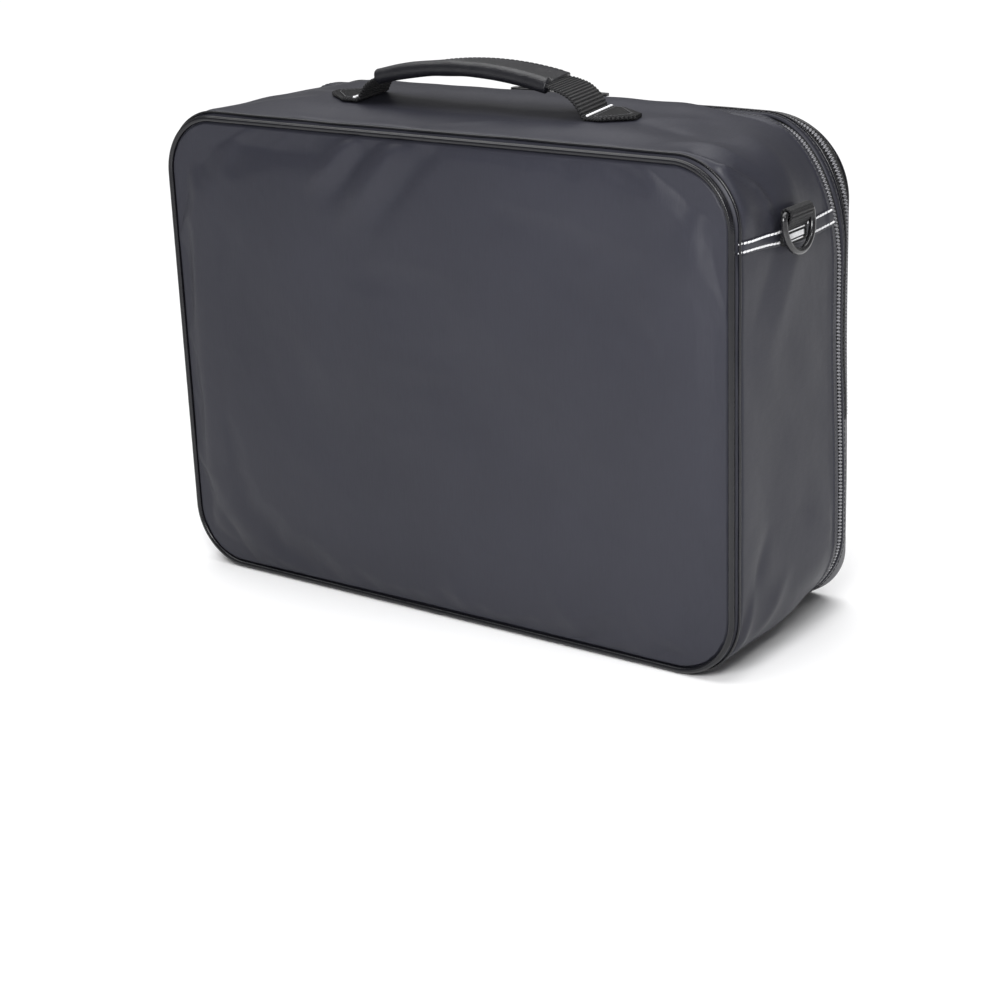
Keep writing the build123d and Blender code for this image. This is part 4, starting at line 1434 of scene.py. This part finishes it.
def lip_lift(y):
    """The lip: a low roll along the lid strip's back edge, falling off to the zip."""
    return LIP_HEIGHT * bump(y, LIP_Y, 1.0) - rolled_under(y - LID_BACK_Y, 0.8, 1.4)


def strip_back_edge(u):
    """Where the lid's strip starts, beside the main zip: at one depth all round."""
    return np.full_like(u, LID_BACK_Y)


def strip_front_edge(u):
    """Where the lid's strip ends towards the front: at the pocket zip above the flap's fold, and
    at the front piping below it."""
    z = skin(u, POCKET_ZIP_Y)[..., 2]
    below = 1 - smooth(z, FOLD_Z - 3.0, FOLD_Z - 0.5)
    return LID_FRONT_Y + (FRONT_RIM_Y - 0.9 - LID_FRONT_Y) * below


# Folds of the front panel, as for the back
FRONT_FOLDS = (
    (((-180, 270), (-140, 236)), 11.0, -1.0),
    (((178, 270), (140, 240)), 11.0, -0.9),
    (((-178, 24), (-140, 58)), 10.0, 0.8),
    (((178, 22), (146, 60)), 10.0, 0.8),
)
# How far the lid's inner wall and the pocket's tray lie inside the outline
WALL_INSET = 2.9


def fold_across(piece, slot, *nodes):
    """Bakes a piece's transform into its mesh and hides the nodes that it stands for. slot is not used."""
    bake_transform(piece)
    return label_piece(piece, slot, *nodes)


class Lid(Operator):
    """Builds the lid: its strip between the zips, the front panel, its piping and layers."""

    bl_idname = "case.lid"
    bl_label = "Lid"
    bl_options = {"REGISTER", "UNDO"}

    def execute(self, context):
        self.build_strip()
        self.build_front()
        self.build_wall()
        return {"FINISHED"}

    def build_strip(self):
        """The strip round the lid, narrow between the zips and full depth below the fold."""
        start = u_at(x=HINGE_HALF + 0.6, y=LID_BACK_Y)
        rows = 760
        edge = strip_front_edge(np.linspace(start, 4 - start, rows))
        u, y = skin_grid(start, 4 - start, rows, LID_BACK_Y, edge, 34)
        points = lid_point(u, y, lip_lift(y) - rolled_under(edge[:, None] - y, 0.9, 1.3))
        outward = skin_axes(u, y)[2]
        strip = add_sheet("lid_strip", points, finish_named("cover"), outward, GUSSET_THICKNESS)
        way = u[:, 0]
        high = skin(way, LID_FRONT_Y)[:, 2] > FOLD_Z
        add_bead("lid_front_bead", lid_point, way[high], np.full(high.sum(), LID_FRONT_Y - 0.5), "lid")
        settle(strip, "lid", "cover", "lid_gusset")
        round_it = run_length(*points[:, 0].T)
        width = float(edge.max() - LID_BACK_Y) * MM
        area = float(((edge[1:] + edge[:-1]) / 2 - LID_BACK_Y) @ np.diff(round_it)) * MM * MM

    def build_front(self):
        """The front cover, piping, foam and lining, each one piece over both sides of the fold."""
        swell = millimetres("front_swell")
        points = swollen_panel(FRONT_RIM_Y, swell, FRONT_FOLDS, 1, 23, 240, 190)
        flat = points[..., ::2]
        cover = add_sheet("front_cover", points, finish_named("cover"), (0, 1, 0), PANEL_THICKNESS, uv=flat)
        fold_across(cover, "cover", "front_panel_lower", "flap_panel")
        piping = add_piping("front_welt", FRONT_RIM_Y, 12)
        fold_across(piping, "piping", "front_piping_lower", "flap_piping")
        low = corner_mm("front_foam_lower", 0)[2]
        foam = add_panel_layer(
            "front_foam_pad", FRONT_RIM_Y, -1, FOAM_START, FOAM_THICKNESS, LAYER_INSET, finish_named("foam"),
            low, rows=150, columns=40,
        )
        fold_across(foam, "foam", "front_foam_lower", "flap_foam")
        lining = add_panel_layer(
            "front_lining_cloth", FRONT_RIM_Y, -1, LINING_START, LINING_THICKNESS, LAYER_INSET,
            finish_named("lining"), low, rows=150, columns=40,
        )
        fold_across(lining, "lining", "front_lining_lower", "flap_lining")

    def build_wall(self):
        """The padded wall between the compartment and the pocket, and the pocket's tray."""
        low = corner_mm("lid_lining", 0)[2]
        for name, node, slot, y_start, y_end in (
            ("lid_wall_lining", "lid_lining", "lining", *self.depths("lid_lining")),
            ("lid_wall_foam", "lid_foam", "foam", *self.depths("lid_foam")),
        ):
            middle = (y_start + y_end) / 2
            layer = add_panel_layer(
                name, middle, 1, y_start - middle, y_end - y_start, WALL_INSET, finish_named(slot), low
            )
            settle(layer, "lid", slot, node)
        self.build_tray(low)

    def depths(self, node):
        """A node's two faces along Y."""
        return corner_mm(node, 0)[1], corner_mm(node, 1)[1]

    def build_tray(self, low):
        """The pocket's lining: a back sheet and a rim that comes forward to the zip."""
        y_start, y_end = self.depths("pocket_lining")
        start = u_at(height=low + 0.6, y=y_start)
        u, y = skin_grid(start, 4 - start, 500, y_start, y_end, 14)
        points = skin(u, y) - skin_axes(u, y)[2] * WALL_INSET
        back = panel_points(y_start, WALL_INSET, 60, 60, low)
        back_sheet = add_sheet("pocket_back_cloth", back, finish_named("lining"), (0, 1, 0), 0.6)
        settle(back_sheet, "lid", "lining", "pocket_lining")
        rim = add_sheet("pocket_rim_cloth", points, finish_named("lining"), -skin_axes(u, y)[2], 0.6)
        settle(rim, "lid", "lining")


# The elastic band: how many loops it has, half a loop's length and its tail past the last loop
ELASTIC_COUNT = 6
ELASTIC_HALF = 17.0
ELASTIC_TAIL = 7


def rounded_box(low, high, corner, cells):
    """A box with rounded edges: a rounded rectangle carried along X, whose corner radius shrinks
    to nothing over the last of its length, along a quarter circle. Returned as path, side, up
    and profile."""
    low = np.asarray(low, float)
    high = np.asarray(high, float)
    middle = (low + high) / 2
    half = (high - low) / 2
    x = -np.cos(np.linspace(0, math.pi, cells))
    end = half[0] - np.abs(x * half[0])
    draw = np.where(end < corner, corner - np.sqrt(np.maximum(corner ** 2 - (corner - end) ** 2, 0)), 0)
    ring = circle(64)
    edge = np.sign(ring) * (half[1:] - corner)
    path = np.stack([middle[0] + x * half[0], np.full(cells, middle[1]), np.full(cells, middle[2])], axis=-1)
    profile = edge[None] + ring[None] * np.maximum(corner - draw, 0.02)[:, None, None]
    side = everywhere((0, 1, 0), path)
    up = everywhere((0, 0, 1), path)
    return path, side, up, profile


class Inside(Operator):
    """Builds what the case holds inside: base board, dividers and instrument loops."""

    bl_idname = "case.inside"
    bl_label = "Inside fittings"
    bl_options = {"REGISTER", "UNDO"}

    def execute(self, context):
        board = self.soft_box("base_board_covered", "base_board", 0.9, "board")
        settle(board, "shell", "board", "base_board")
        for side in ("left", "right"):
            node = f"divider_{side}"
            divider = self.divider(f"padded_{node}", node)
            settle(divider, "shell", "divider", node)
        self.build_loops()
        return {"FINISHED"}

    def soft_box(self, name, node, corner, finish):
        """A box with rounded edges in a node's place."""
        low, high = corner_mm(node, 0), corner_mm(node, 1)
        path, side, up, profile = rounded_box(low, high, corner, 60)
        return add_sweep(name, path, side, up, profile, finish_named(finish))

    def divider(self, name, node):
        """A padded divider: two bulging faces that meet at a bound edge, with rounded top
        corners. Half its thickness is the bound edge's plus t * (1 - exp(-d / 7)), where d is
        the distance from its edge."""
        low, high = corner_mm(node, 0), corner_mm(node, 1)
        rows, columns = 70, 46
        z = low[2] + (high[2] - low[2]) * (1 - np.cos(np.linspace(0, math.pi, rows))) / 2
        corner = 14.0
        above_corner = np.maximum(z - (high[2] - corner), 0)
        drawn = corner - np.sqrt(np.maximum(corner ** 2 - above_corner ** 2, 0))
        half = (high[1] - low[1]) / 2 - drawn
        share = -np.cos(np.linspace(0, math.pi, columns))
        y = (low[1] + high[1]) / 2 + half[:, None] * share
        z = np.broadcast_to(z[:, None], y.shape)
        from_side = half[:, None] * (1 - np.abs(share))
        gap = np.minimum(np.minimum(from_side, z - low[2]), high[2] - z)
        thick = 1.3 + ((high[0] - low[0]) / 2 - 1.3) * (1 - np.exp(-gap / 7)) * smooth(gap, 3.0, 4.0)
        thick *= 1 - 0.7 * np.clip(1 - gap / 0.6, 0, 1)
        middle = (low[0] + high[0]) / 2
        faces = [np.stack([middle + way * thick, y, z], axis=-1) for way in (1, -1)]
        return add_slab(name, *faces, finish_named("divider"))

    def build_loops(self):
        """Elastic loops: one ribbed band that arches off the wall six times and is sewn down
        between, its height a full loop's times 1 - |t|^2.6 over each loop."""
        low, high = corner_mm("elastic_loops", 0), corner_mm("elastic_loops", 1)
        wall = WALL_Y - 0.3
        x = np.linspace(low[0] - ELASTIC_TAIL, high[0] + ELASTIC_TAIL, 900)
        pitch = (high[0] - low[0] - 2 * ELASTIC_HALF) / (ELASTIC_COUNT - 1)
        place = (x - low[0] - ELASTIC_HALF) / pitch
        nearest = np.clip(np.round(place), 0, ELASTIC_COUNT - 1)
        t = np.clip(np.abs(place - nearest) * pitch / ELASTIC_HALF, 0, 1)
        reach = (wall - low[1] - 0.7) * (1 - t ** 2.6) + 0.7
        path = np.stack([x, wall - reach, np.full_like(x, (low[2] + high[2]) / 2)], axis=-1)
        along = unit(np.gradient(path, axis=0))
        up = everywhere((0, 0, 1), path)
        side = np.cross(along, up)
        half_height = (high[2] - low[2]) / 2
        profile = strap_profile(half_height, 0.6)
        band = add_sweep("elastic_band", path, side, up, profile[:, ::-1], finish_named("elastic"))
        settle(band, "lid", "elastic", "elastic_loops")


def strap_profile(half_width, half_thickness, count=22):
    """A flat strap's cross-section: two straight faces with rounded edges, as (across, up)."""
    flat = np.linspace(-1, 1, count) * (half_width - half_thickness)
    turn = np.linspace(-math.pi / 2, math.pi / 2, 6)[1:-1]
    right = np.stack([
        half_width - half_thickness + half_thickness * np.cos(turn), half_thickness * np.sin(turn)
    ], axis=-1)
    low = np.stack([flat, np.full(count, -half_thickness)], axis=-1)
    return np.concatenate([low, right, -low, -right])


# The handle's arch and strap, in the plane across the case
ARCH_RADIUS = 250.0
HANDLE_TOP = corner_mm("handle_webbing", 1)[2] - 1.0
ARCH_CENTRE_Z = HANDLE_TOP - ARCH_RADIUS
ARCH_HALF = 64.0
TURN_RADIUS = 22.6
FOOT_BEND = 2.6
PATCH_Z = corner_mm("handle_foot_right", 0)[2] + 0.85
PATCH_END = 108.5
PATCH_POINT_START = 91.0
PATCH_POINT_SHARE = 0.22
STRAP_HALF = 19.0
STRAP_HALF_THICKNESS = 1.0
SLEEVE_NARROWING = 2.4
PATCH_STITCH_INSET = 2.6
PATCH_STITCH_PITCH = 3.1
# How far the strap's far edge lies to the left of its near edge, for its width
STRAP_SKEW = -0.2


def strap_line(step=0.42):
    """The right half of the strap's line as (x, z), from the top of the arch to the patch's end:
    the arch, the turn down, a small bend outward and the patch, evenly spaced."""
    theta = math.asin(ARCH_HALF / ARCH_RADIUS)
    arch = np.linspace(0, theta, 200)
    turn_x = ARCH_HALF - TURN_RADIUS * math.sin(theta)
    turn_z = ARCH_CENTRE_Z + (ARCH_RADIUS - TURN_RADIUS) * math.cos(theta)
    steep = math.acos((PATCH_Z + FOOT_BEND - turn_z) / (TURN_RADIUS + FOOT_BEND))
    turn = np.linspace(theta, steep, 80)[1:]
    bend_x = turn_x + (TURN_RADIUS + FOOT_BEND) * math.sin(steep)
    bend = np.linspace(steep, 0, 30)[1:]
    x = np.concatenate([
        ARCH_RADIUS * np.sin(arch), turn_x + TURN_RADIUS * np.sin(turn), bend_x - FOOT_BEND * np.sin(bend),
        np.linspace(bend_x, PATCH_END, 60)[1:],
    ])
    z = np.concatenate([
        ARCH_CENTRE_Z + ARCH_RADIUS * np.cos(arch), turn_z + TURN_RADIUS * np.cos(turn),
        PATCH_Z + FOOT_BEND - FOOT_BEND * np.cos(bend), np.full(59, PATCH_Z),
    ])
    length = run_length(x, z)
    way = np.arange(0, length[-1], step)
    return np.interp(way, length, x), np.interp(way, length, z), bend_x


GRIP_ROLL_Y = -13.4
GRIP_ROLL_RADIUS = 4.6
GRIP_FLAP_Y = 18.6
GRIP_FLAP_HALF = 2.0
GRIP_HALF_SPAN = 61.0
GRIP_SHIFT = -6.0
# Across the sleeve: where its end fans meet, and its row of stitches
GRIP_HUB_Y = -8.5
GRIP_STITCH_Y = 17.2


def grip_profile():
    """The sleeve's cross-section as (across, up): round the roll, along the flap's top with a
    sewn groove beside the roll, round the flap's edge and back along its underside."""
    meet = math.asin(GRIP_FLAP_HALF / GRIP_ROLL_RADIUS)
    roll_angle = np.linspace(TAU - meet, meet, 40)
    roll = np.stack([
        GRIP_ROLL_Y + GRIP_ROLL_RADIUS * np.cos(roll_angle), -GRIP_ROLL_RADIUS * np.sin(roll_angle)
    ], axis=-1)
    start = GRIP_ROLL_Y + GRIP_ROLL_RADIUS * math.cos(meet)
    across = np.linspace(start, GRIP_FLAP_Y - 1.0, 40)[1:]
    groove = GRIP_FLAP_HALF - 0.55 * bump(across, start + 2.4, 1.0) - 0.35 * smooth(across, 10, 18)
    edge = np.linspace(math.pi / 2, -math.pi / 2, 9)[1:-1]
    end_half = groove[-1]
    tip = np.stack([GRIP_FLAP_Y - 1.0 + np.cos(edge), end_half * np.sin(edge)], axis=-1)
    top = np.stack([across, groove], axis=-1)
    under = np.stack([across[::-1], -groove[::-1]], axis=-1)
    return np.concatenate([roll[::-1], top, tip, under])


class Handle(Operator):
    """Builds the handle: one strap with its two patches, the padded sleeve and the tacks."""

    bl_idname = "case.handle"
    bl_label = "Handle"
    bl_options = {"REGISTER", "UNDO"}

    def execute(self, context):
        self.build_strap()
        self.build_sleeve()
        self.build_tacks()
        return {"FINISHED"}

    def build_strap(self):
        """The ribbed strap from patch to patch, narrower inside the sleeve and cut to a blunt
        point at each patch's end."""
        x, z, _ = strap_line()
        x = np.concatenate([-x[:0:-1], x])
        z = np.concatenate([z[:0:-1], z])
        path = np.stack([x, np.full_like(x, HANDLE_Y), z], axis=-1)
        along = unit(np.gradient(path, axis=0))
        side = everywhere((STRAP_SKEW, 1, 0), path)
        up = unit(np.cross(along, side))
        length = run_length(x, z)
        rib = np.sin(TAU * length / millimetres("rib_pitch")) * millimetres("rib_height")
        inside = smooth(x, GRIP_SHIFT - GRIP_HALF_SPAN - 5, GRIP_SHIFT - GRIP_HALF_SPAN + 1)
        inside *= 1 - smooth(x, GRIP_SHIFT + GRIP_HALF_SPAN - 1, GRIP_SHIFT + GRIP_HALF_SPAN + 5)
        width = STRAP_HALF - SLEEVE_NARROWING * inside + 0.18 * wander(length, 0 * length, 4, 11)
        to_point = np.clip((np.abs(x) - PATCH_POINT_START) / (PATCH_END - PATCH_POINT_START), 0, 1)
        width *= 1 - (1 - PATCH_POINT_SHARE) * to_point
        profile = strap_profile(1.0, STRAP_HALF_THICKNESS / STRAP_HALF)
        across = profile[None, :, 0] * width[:, None]
        thick = profile[None, :, 1] * (STRAP_HALF + (rib * STRAP_HALF)[:, None])
        section = np.stack([across, thick], axis=-1)
        strap = add_sweep("handle_strap", path, side, up, section, finish_named("webbing"))
        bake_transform(strap)
        label_piece(strap, "webbing", "handle_webbing", "handle_foot_right", "handle_foot_left")

    def build_sleeve(self):
        """The leatherette sleeve: its cross-section carried along the arch, skewed as the strap
        is, with stretch waves along the roll."""
        profile = grip_profile()
        share = np.linspace(-1, 1, 150)
        across, height = profile.T
        end_round = 1 - 0.1 * np.clip((np.abs(share) - 0.985) / 0.015, 0, 1) ** 2
        way = (share[:, None] * GRIP_HALF_SPAN + GRIP_SHIFT + STRAP_SKEW * across) / ARCH_RADIUS
        roll = bump(across, GRIP_ROLL_Y, 7)
        swell = 1 + 0.03 * roll * wander(share[:, None] * GRIP_HALF_SPAN, across, 9, 26)
        lift = height * swell * end_round[:, None]
        x = (ARCH_RADIUS + lift) * np.sin(way)
        z = ARCH_CENTRE_Z + (ARCH_RADIUS + lift) * np.cos(way)
        y = HANDLE_Y + np.broadcast_to(across, x.shape)
        self.finish_sleeve(np.stack([x, y, z], axis=-1))

    def finish_sleeve(self, points):
        """Closes the sleeve's ends with fans about the roll's inner side; the sleeve also stands for its
        core.
        """
        rows, columns = points.shape[:2]
        flat = points.reshape(-1, 3)
        faces = grid_faces(rows, columns, False, True)
        turned = outside_out(flat, faces)
        inner = np.abs(points[0, :, 1] - HANDLE_Y - GRIP_HUB_Y).argsort()[:2]
        hubs = np.stack([points[end, inner].mean(axis=0) for end in (0, -1)])
        caps = end_caps(rows, columns, not np.array_equal(turned, faces))
        uv = np.concatenate([flat[:, :2], hubs[:, :2]])
        sleeve = add_piece(
            "grip_sleeve", np.concatenate([flat, hubs]), turned, finish_named("grip"), uv, extra=(caps,)
        )
        settle(sleeve, "handle", "grip", "handle_grip_cover", "handle_grip_core")
        middle = rows // 2
        seam_column = int(np.abs(points[middle, :, 1] - HANDLE_Y - GRIP_STITCH_Y).argmin())
        self.sleeve_stitches(points, seam_column)

    def sleeve_stitches(self, points, column):
        """A row of dark stitches along the flap's front edge."""
        line = points[4:-4, column]
        length = run_length(*line.T)
        way = np.arange(1.5, length[-1] - 1.5, 3.4)
        origins = np.stack([np.interp(way, length, line[:, axis]) for axis in range(3)], axis=-1)
        along = unit(np.gradient(origins, axis=0))
        up = unit(np.cross(along, everywhere((0, 1, 0), along)))
        up *= np.sign(up[:, 2:])
        origins += up * 0.1
        shape = bead(DARK_STITCH_LENGTH, DARK_STITCH_WIDTH, 0.6)
        row = scatter("sleeve_stitches", shape, origins, along, up, finish_named("dark_thread"))
        settle(row, "handle", "grip")

    def build_tacks(self):
        """White bar tacks across the strap where each leg meets its patch, and the dark box of
        stitches round each patch."""
        _, _, bend_x = strap_line()
        y = HANDLE_Y + np.linspace(-STRAP_HALF + 2.2, STRAP_HALF - 2.2, 11)
        for side, name in ((1, "right"), (-1, "left")):
            x = side * (bend_x + 1.6) + STRAP_SKEW * (y - HANDLE_Y)
            origins = np.stack([x, y, np.full_like(y, PATCH_Z + 1.45)], axis=-1)
            along = unit(everywhere((STRAP_SKEW, 1, 0), origins))
            up = everywhere((0, 0, 1), origins)
            tack = scatter(
                f"handle_tack_{name}", bead(3.6, 2.0, 1.3), origins, along, up, finish_named("white_thread")
            )
            settle(tack, "shell", "webbing")
            self.patch_stitches(side, name, bend_x)

    def patch_stitches(self, side, name, bend_x):
        """Dark stitches round a patch, inside its edges and up to its point."""
        start = bend_x + 5.0
        half = STRAP_HALF - PATCH_STITCH_INSET
        turn = PATCH_POINT_START - 1.0
        point = PATCH_END - 5.0
        corners = np.array([
            (start, -half), (turn, -half), (point, -1.5), (point, 1.5),
            (turn, half), (start, half), (start, -half),
        ])
        length = run_length(*corners.T)
        way = np.arange(1.6, length[-1], PATCH_STITCH_PITCH)
        x = np.interp(way, length, corners[:, 0])
        y = np.interp(way, length, corners[:, 1])
        segment = np.clip(np.searchsorted(length, way) - 1, 0, len(corners) - 2)
        run = unit(np.diff(corners, axis=0))[segment]
        origins = np.stack([side * x + STRAP_SKEW * y, HANDLE_Y + y, np.full_like(x, PATCH_Z + 1.2)], axis=-1)
        along = np.stack([side * run[:, 0], run[:, 1], np.zeros(len(run))], axis=-1)
        up = everywhere((0, 0, 1), origins)
        row = scatter(
            f"patch_stitches_{name}", bead(2.4, 0.6, 0.5), origins, along, up, finish_named("dark_thread")
        )
        settle(row, "shell", "webbing")


LOOP_Y = (corner_mm("ring_loop_right", 0)[1] + corner_mm("ring_loop_right", 1)[1]) / 2
LOOP_BACK_X = corner_mm("ring_loop_right", 0)[0] + 0.75
LOOP_LOW = corner_mm("ring_loop_right", 0)[2]
BAR_Z = corner_mm("ring_loop_right", 1)[2] - 3.55
LOOP_HALF = 12.5
LOOP_WRAP = 2.9
# Where the loop leaves its turn over the bar, where its front tail starts to lie flat above its
# low end, how far in front of the back tail it lies, and the webbing's ribs
LOOP_TURN_END = -0.25
LOOP_TAIL = 7.0
LOOP_LAP = 1.5
LOOP_RIB_PITCH = 1.7
# Each row of a ring's tack: its height above the loop's low end, and half its length
RING_TACK_ROWS = ((7.7, 9.5), (5.6, 8.4), (4.9, 8.4), (4.2, 8.4), (3.5, 8.4), (1.9, 7.4))


class RingLoops(Operator):
    """Builds the folded webbing loops that hold the D-rings, and their white tacks."""

    bl_idname = "case.ring_loops"
    bl_label = "Ring loops"
    bl_options = {"REGISTER", "UNDO"}

    def execute(self, context):
        for side, name in ((1, "right"), (-1, "left")):
            self.build_loop(side, name)
            self.build_tack(side, name)
        return {"FINISHED"}

    def loop_line(self):
        """The loop's line as (x, z): up from its back tail, over the bar and down to the
        front tail, which closes up to the back one under the bar."""
        bar_x = LOOP_BACK_X + LOOP_WRAP
        over = np.linspace(math.pi, LOOP_TURN_END, 40)
        down = np.linspace(0, 1, 30)[1:]
        start_x = bar_x + LOOP_WRAP * math.cos(LOOP_TURN_END)
        start_z = BAR_Z + LOOP_WRAP * math.sin(LOOP_TURN_END)
        tail_x = LOOP_BACK_X + LOOP_LAP
        tail_z = LOOP_LOW + LOOP_TAIL
        x = np.concatenate([
            np.full(20, LOOP_BACK_X), bar_x + LOOP_WRAP * np.cos(over),
            start_x + (tail_x - start_x) * smooth(down, 0, 1), np.full(12, tail_x),
        ])
        z = np.concatenate([
            np.linspace(LOOP_LOW + 0.4, BAR_Z - 0.3, 20), BAR_Z + LOOP_WRAP * np.sin(over),
            start_z + (tail_z - start_z) * down, np.linspace(tail_z - 0.5, LOOP_LOW, 12),
        ])
        length = run_length(x, z)
        way = np.arange(0, length[-1], 0.3)
        return np.interp(way, length, x), np.interp(way, length, z), way

    def build_loop(self, side, name):
        """The ribbed webbing along the loop's line."""
        x, z, way = self.loop_line()
        path = np.stack([side * x, np.full_like(x, LOOP_Y), z], axis=-1)
        along = unit(np.gradient(path, axis=0))
        across = everywhere((0, 1, 0), path)
        up = np.cross(along, across)
        rib = 1 + 0.16 * np.sin(TAU * way / LOOP_RIB_PITCH)
        profile = strap_profile(LOOP_HALF, 0.68)
        shaped = np.stack([
            np.broadcast_to(profile[:, 0], (len(way), len(profile))), profile[None, :, 1] * rib[:, None]
        ], axis=-1)
        loop = add_sweep(f"ring_webbing_{name}", path, across, up, shaped, finish_named("webbing"))
        settle(loop, "shell", "webbing", f"ring_loop_{name}")

    def build_tack(self, side, name):
        """The bar tack: rows of white thread across the tails, the middle ones close together,
        and a small anchoring stitch under them."""
        above, half = np.array(RING_TACK_ROWS).T
        count = 6
        share = np.linspace(-1, 1, count) * (1 - 1 / count)
        y = LOOP_Y + share * half[:, None]
        z = np.broadcast_to(LOOP_LOW + above[:, None], y.shape)
        x = np.full_like(y, side * (LOOP_BACK_X + 2.35))
        origins = np.stack([x, y, z], axis=-1).reshape(-1, 3)
        along = everywhere((0, 1, 0), origins)
        up = everywhere((side, 0, 0), origins)
        tack = scatter(
            f"ring_tack_{name}", bead(3.0, 0.85, 0.8), origins, along, up, finish_named("white_thread")
        )
        settle(tack, "shell", "webbing")


class Hardware(Operator):
    """Gives the D-rings, sliders and pulls their enamel."""

    bl_idname = "case.hardware"
    bl_label = "Hardware finish"
    bl_options = {"REGISTER", "UNDO"}

    def execute(self, context):
        for name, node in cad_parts.items():
            if name.startswith("d_ring"):
                self.paint(node, finish_named("ring"))
            elif "slider" in name or "pull" in name:
                self.paint(node, finish_named("slider"))
        return {"FINISHED"}

    def paint(self, node, material):
        """Puts one material in all of a node's slots."""
        if not node.material_slots:
            node.data.materials.append(material)
        for place in node.material_slots:
            place.material = material


# The camera stands where the photograph was taken from: its place in millimetres, the way
# it looks, its right side, its focal length and sensor in millimetres, and its range in metres
CAMERA_PLACE = (747.7, -1029.9, 500.1)
CAMERA_FORWARD = (-0.5588, 0.7600, -0.3318)
CAMERA_RIGHT = (0.8125, 0.5819, -0.0354)
CAMERA_LENS = 78.1
CAMERA_SENSOR = 36
CAMERA_NEAREST = 0.05
CAMERA_FURTHEST = 60

# The floor's half side and its height, in millimetres
FLOOR_REACH = 39000.0
FLOOR_Z = -0.05

# The surround and the sun, then each softbox: its name, place and aim in metres, its two sides
# in metres and its power in watts
SURROUND_STRENGTH = 0.22
SUN_STRENGTH = 3.1
SUN_ANGLE = math.radians(70)
SUN_PLACE = (-0.7, 0.4, 3.0)
SOFTBOXES = (
    ("front_softbox", (0.35, -0.62, 0.5), (0.1, -0.07, 0.15), (0.3, 0.3), 4.8),
    ("side_softbox", (0.9, -0.25, 1.1), (0.2, -0.05, 0.2), (0.25, 0.25), 2.0),
)


class Stage(Operator):
    """Sets the pale floor, the soft studio lights and the camera."""

    bl_idname = "case.stage"
    bl_label = "Stage"
    bl_options = {"REGISTER", "UNDO"}

    def execute(self, context):
        self.build_floor()
        self.build_lights()
        self.build_camera()
        return {"FINISHED"}

    def build_floor(self):
        """A wide square floor just under the case, as a grid of four cells."""
        reach = np.linspace(-FLOOR_REACH, FLOOR_REACH, 3)
        x, y = np.meshgrid(reach, reach, indexing="ij")
        points = np.stack([x, y, np.full_like(x, FLOOR_Z)], axis=-1)
        floor = add_sheet("studio_floor", points, finish_named("floor"), (0, 0, 1))

    def build_lights(self):
        """A dim surround, a very wide sun for an even floor and softboxes for highlights."""
        scene = bpy.context.scene
        world = bpy.data.worlds.new("studio_surround")
        scene.world = world
        world.use_nodes = True
        surround = next(node for node in world.node_tree.nodes if node.type == "BACKGROUND")
        surround.inputs["Color"].default_value = (1, 1, 1, 1)
        surround.inputs["Strength"].default_value = SURROUND_STRENGTH
        sun = bpy.data.lights.new("wide_sun", "SUN")
        sun.energy = SUN_STRENGTH
        sun.angle = SUN_ANGLE
        self.place_light("wide_sun", sun, SUN_PLACE, (0.0, 0.0, 0.0))
        for name, place, aim, size, power in SOFTBOXES:
            lamp = bpy.data.lights.new(name, "AREA")
            lamp.shape = "RECTANGLE"
            lamp.size, lamp.size_y = size
            lamp.energy = power
            self.place_light(name, lamp, place, aim)
        scene.view_settings.view_transform = "Standard"

    def place_light(self, name, lamp, place, aim):
        """Adds a light at a place, turned to its aim."""
        holder = bpy.data.objects.new(name, lamp)
        bpy.context.scene.collection.objects.link(holder)
        back = unit(np.array(place) - np.array(aim))
        holder.matrix_world = facing_matrix(np.array(place), back, np.array([0.0, 1.0, 0.1]))

    def build_camera(self):
        """The camera at the photograph's viewing angle."""
        scene = bpy.context.scene
        camera = bpy.data.cameras.new("studio_camera")
        camera.lens = CAMERA_LENS
        camera.sensor_width = CAMERA_SENSOR
        camera.clip_start = CAMERA_NEAREST
        camera.clip_end = CAMERA_FURTHEST
        holder = bpy.data.objects.new("studio_camera", camera)
        scene.collection.objects.link(holder)
        right = unit(np.array(CAMERA_RIGHT))
        back = unit(-np.array(CAMERA_FORWARD))
        up = np.cross(back, right)
        holder.matrix_world = axes_matrix(right, up, back, np.array(CAMERA_PLACE) * MM)
        scene.camera = holder


def axes_matrix(right, up, back, place):
    """A world matrix from three unit directions and a place in metres."""
    matrix = np.eye(4)
    matrix[:3, 0] = right
    matrix[:3, 1] = up
    matrix[:3, 2] = back
    matrix[:3, 3] = place
    return Matrix(matrix.tolist())


def facing_matrix(place, back, hint):
    """A matrix whose -Z looks away from back, with its upward side near the hint."""
    right = unit(np.cross(hint, back))
    return axes_matrix(right, np.cross(back, right), back, place)


STEPS = (BackPanel, Gussets, SideSeams, Zips, Lid, Inside, Handle, RingLoops, Hardware, Stage)


class CasePanel(Panel):
    """Lists the case's building steps and settings."""

    bl_idname = "VIEW3D_PT_soft_case"
    bl_label = "Soft Doctor's Case"
    bl_space_type = "VIEW_3D"
    bl_region_type = "UI"
    bl_category = "Case"

    def draw(self, context):
        for step in STEPS:
            self.layout.operator(step.bl_idname)
        for settings in (context.scene.case_sizes, context.scene.case_colours):
            for name in settings.__annotations__:
                self.layout.prop(settings, name)


CLASSES = (CaseSizes, CaseColours, *STEPS, CasePanel)


def register():
    for item in CLASSES:
        bpy.utils.register_class(item)
    bpy.types.Scene.case_sizes = PointerProperty(type=CaseSizes)
    bpy.types.Scene.case_colours = PointerProperty(type=CaseColours)


def unregister():
    del bpy.types.Scene.case_colours
    del bpy.types.Scene.case_sizes
    for item in reversed(CLASSES):
        bpy.utils.unregister_class(item)


def main():
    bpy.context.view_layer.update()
    register()
    for step in STEPS:
        group, name = step.bl_idname.split(".")
        getattr(getattr(bpy.ops, group), name)()
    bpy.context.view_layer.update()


if __name__ == "__main__":
    main()
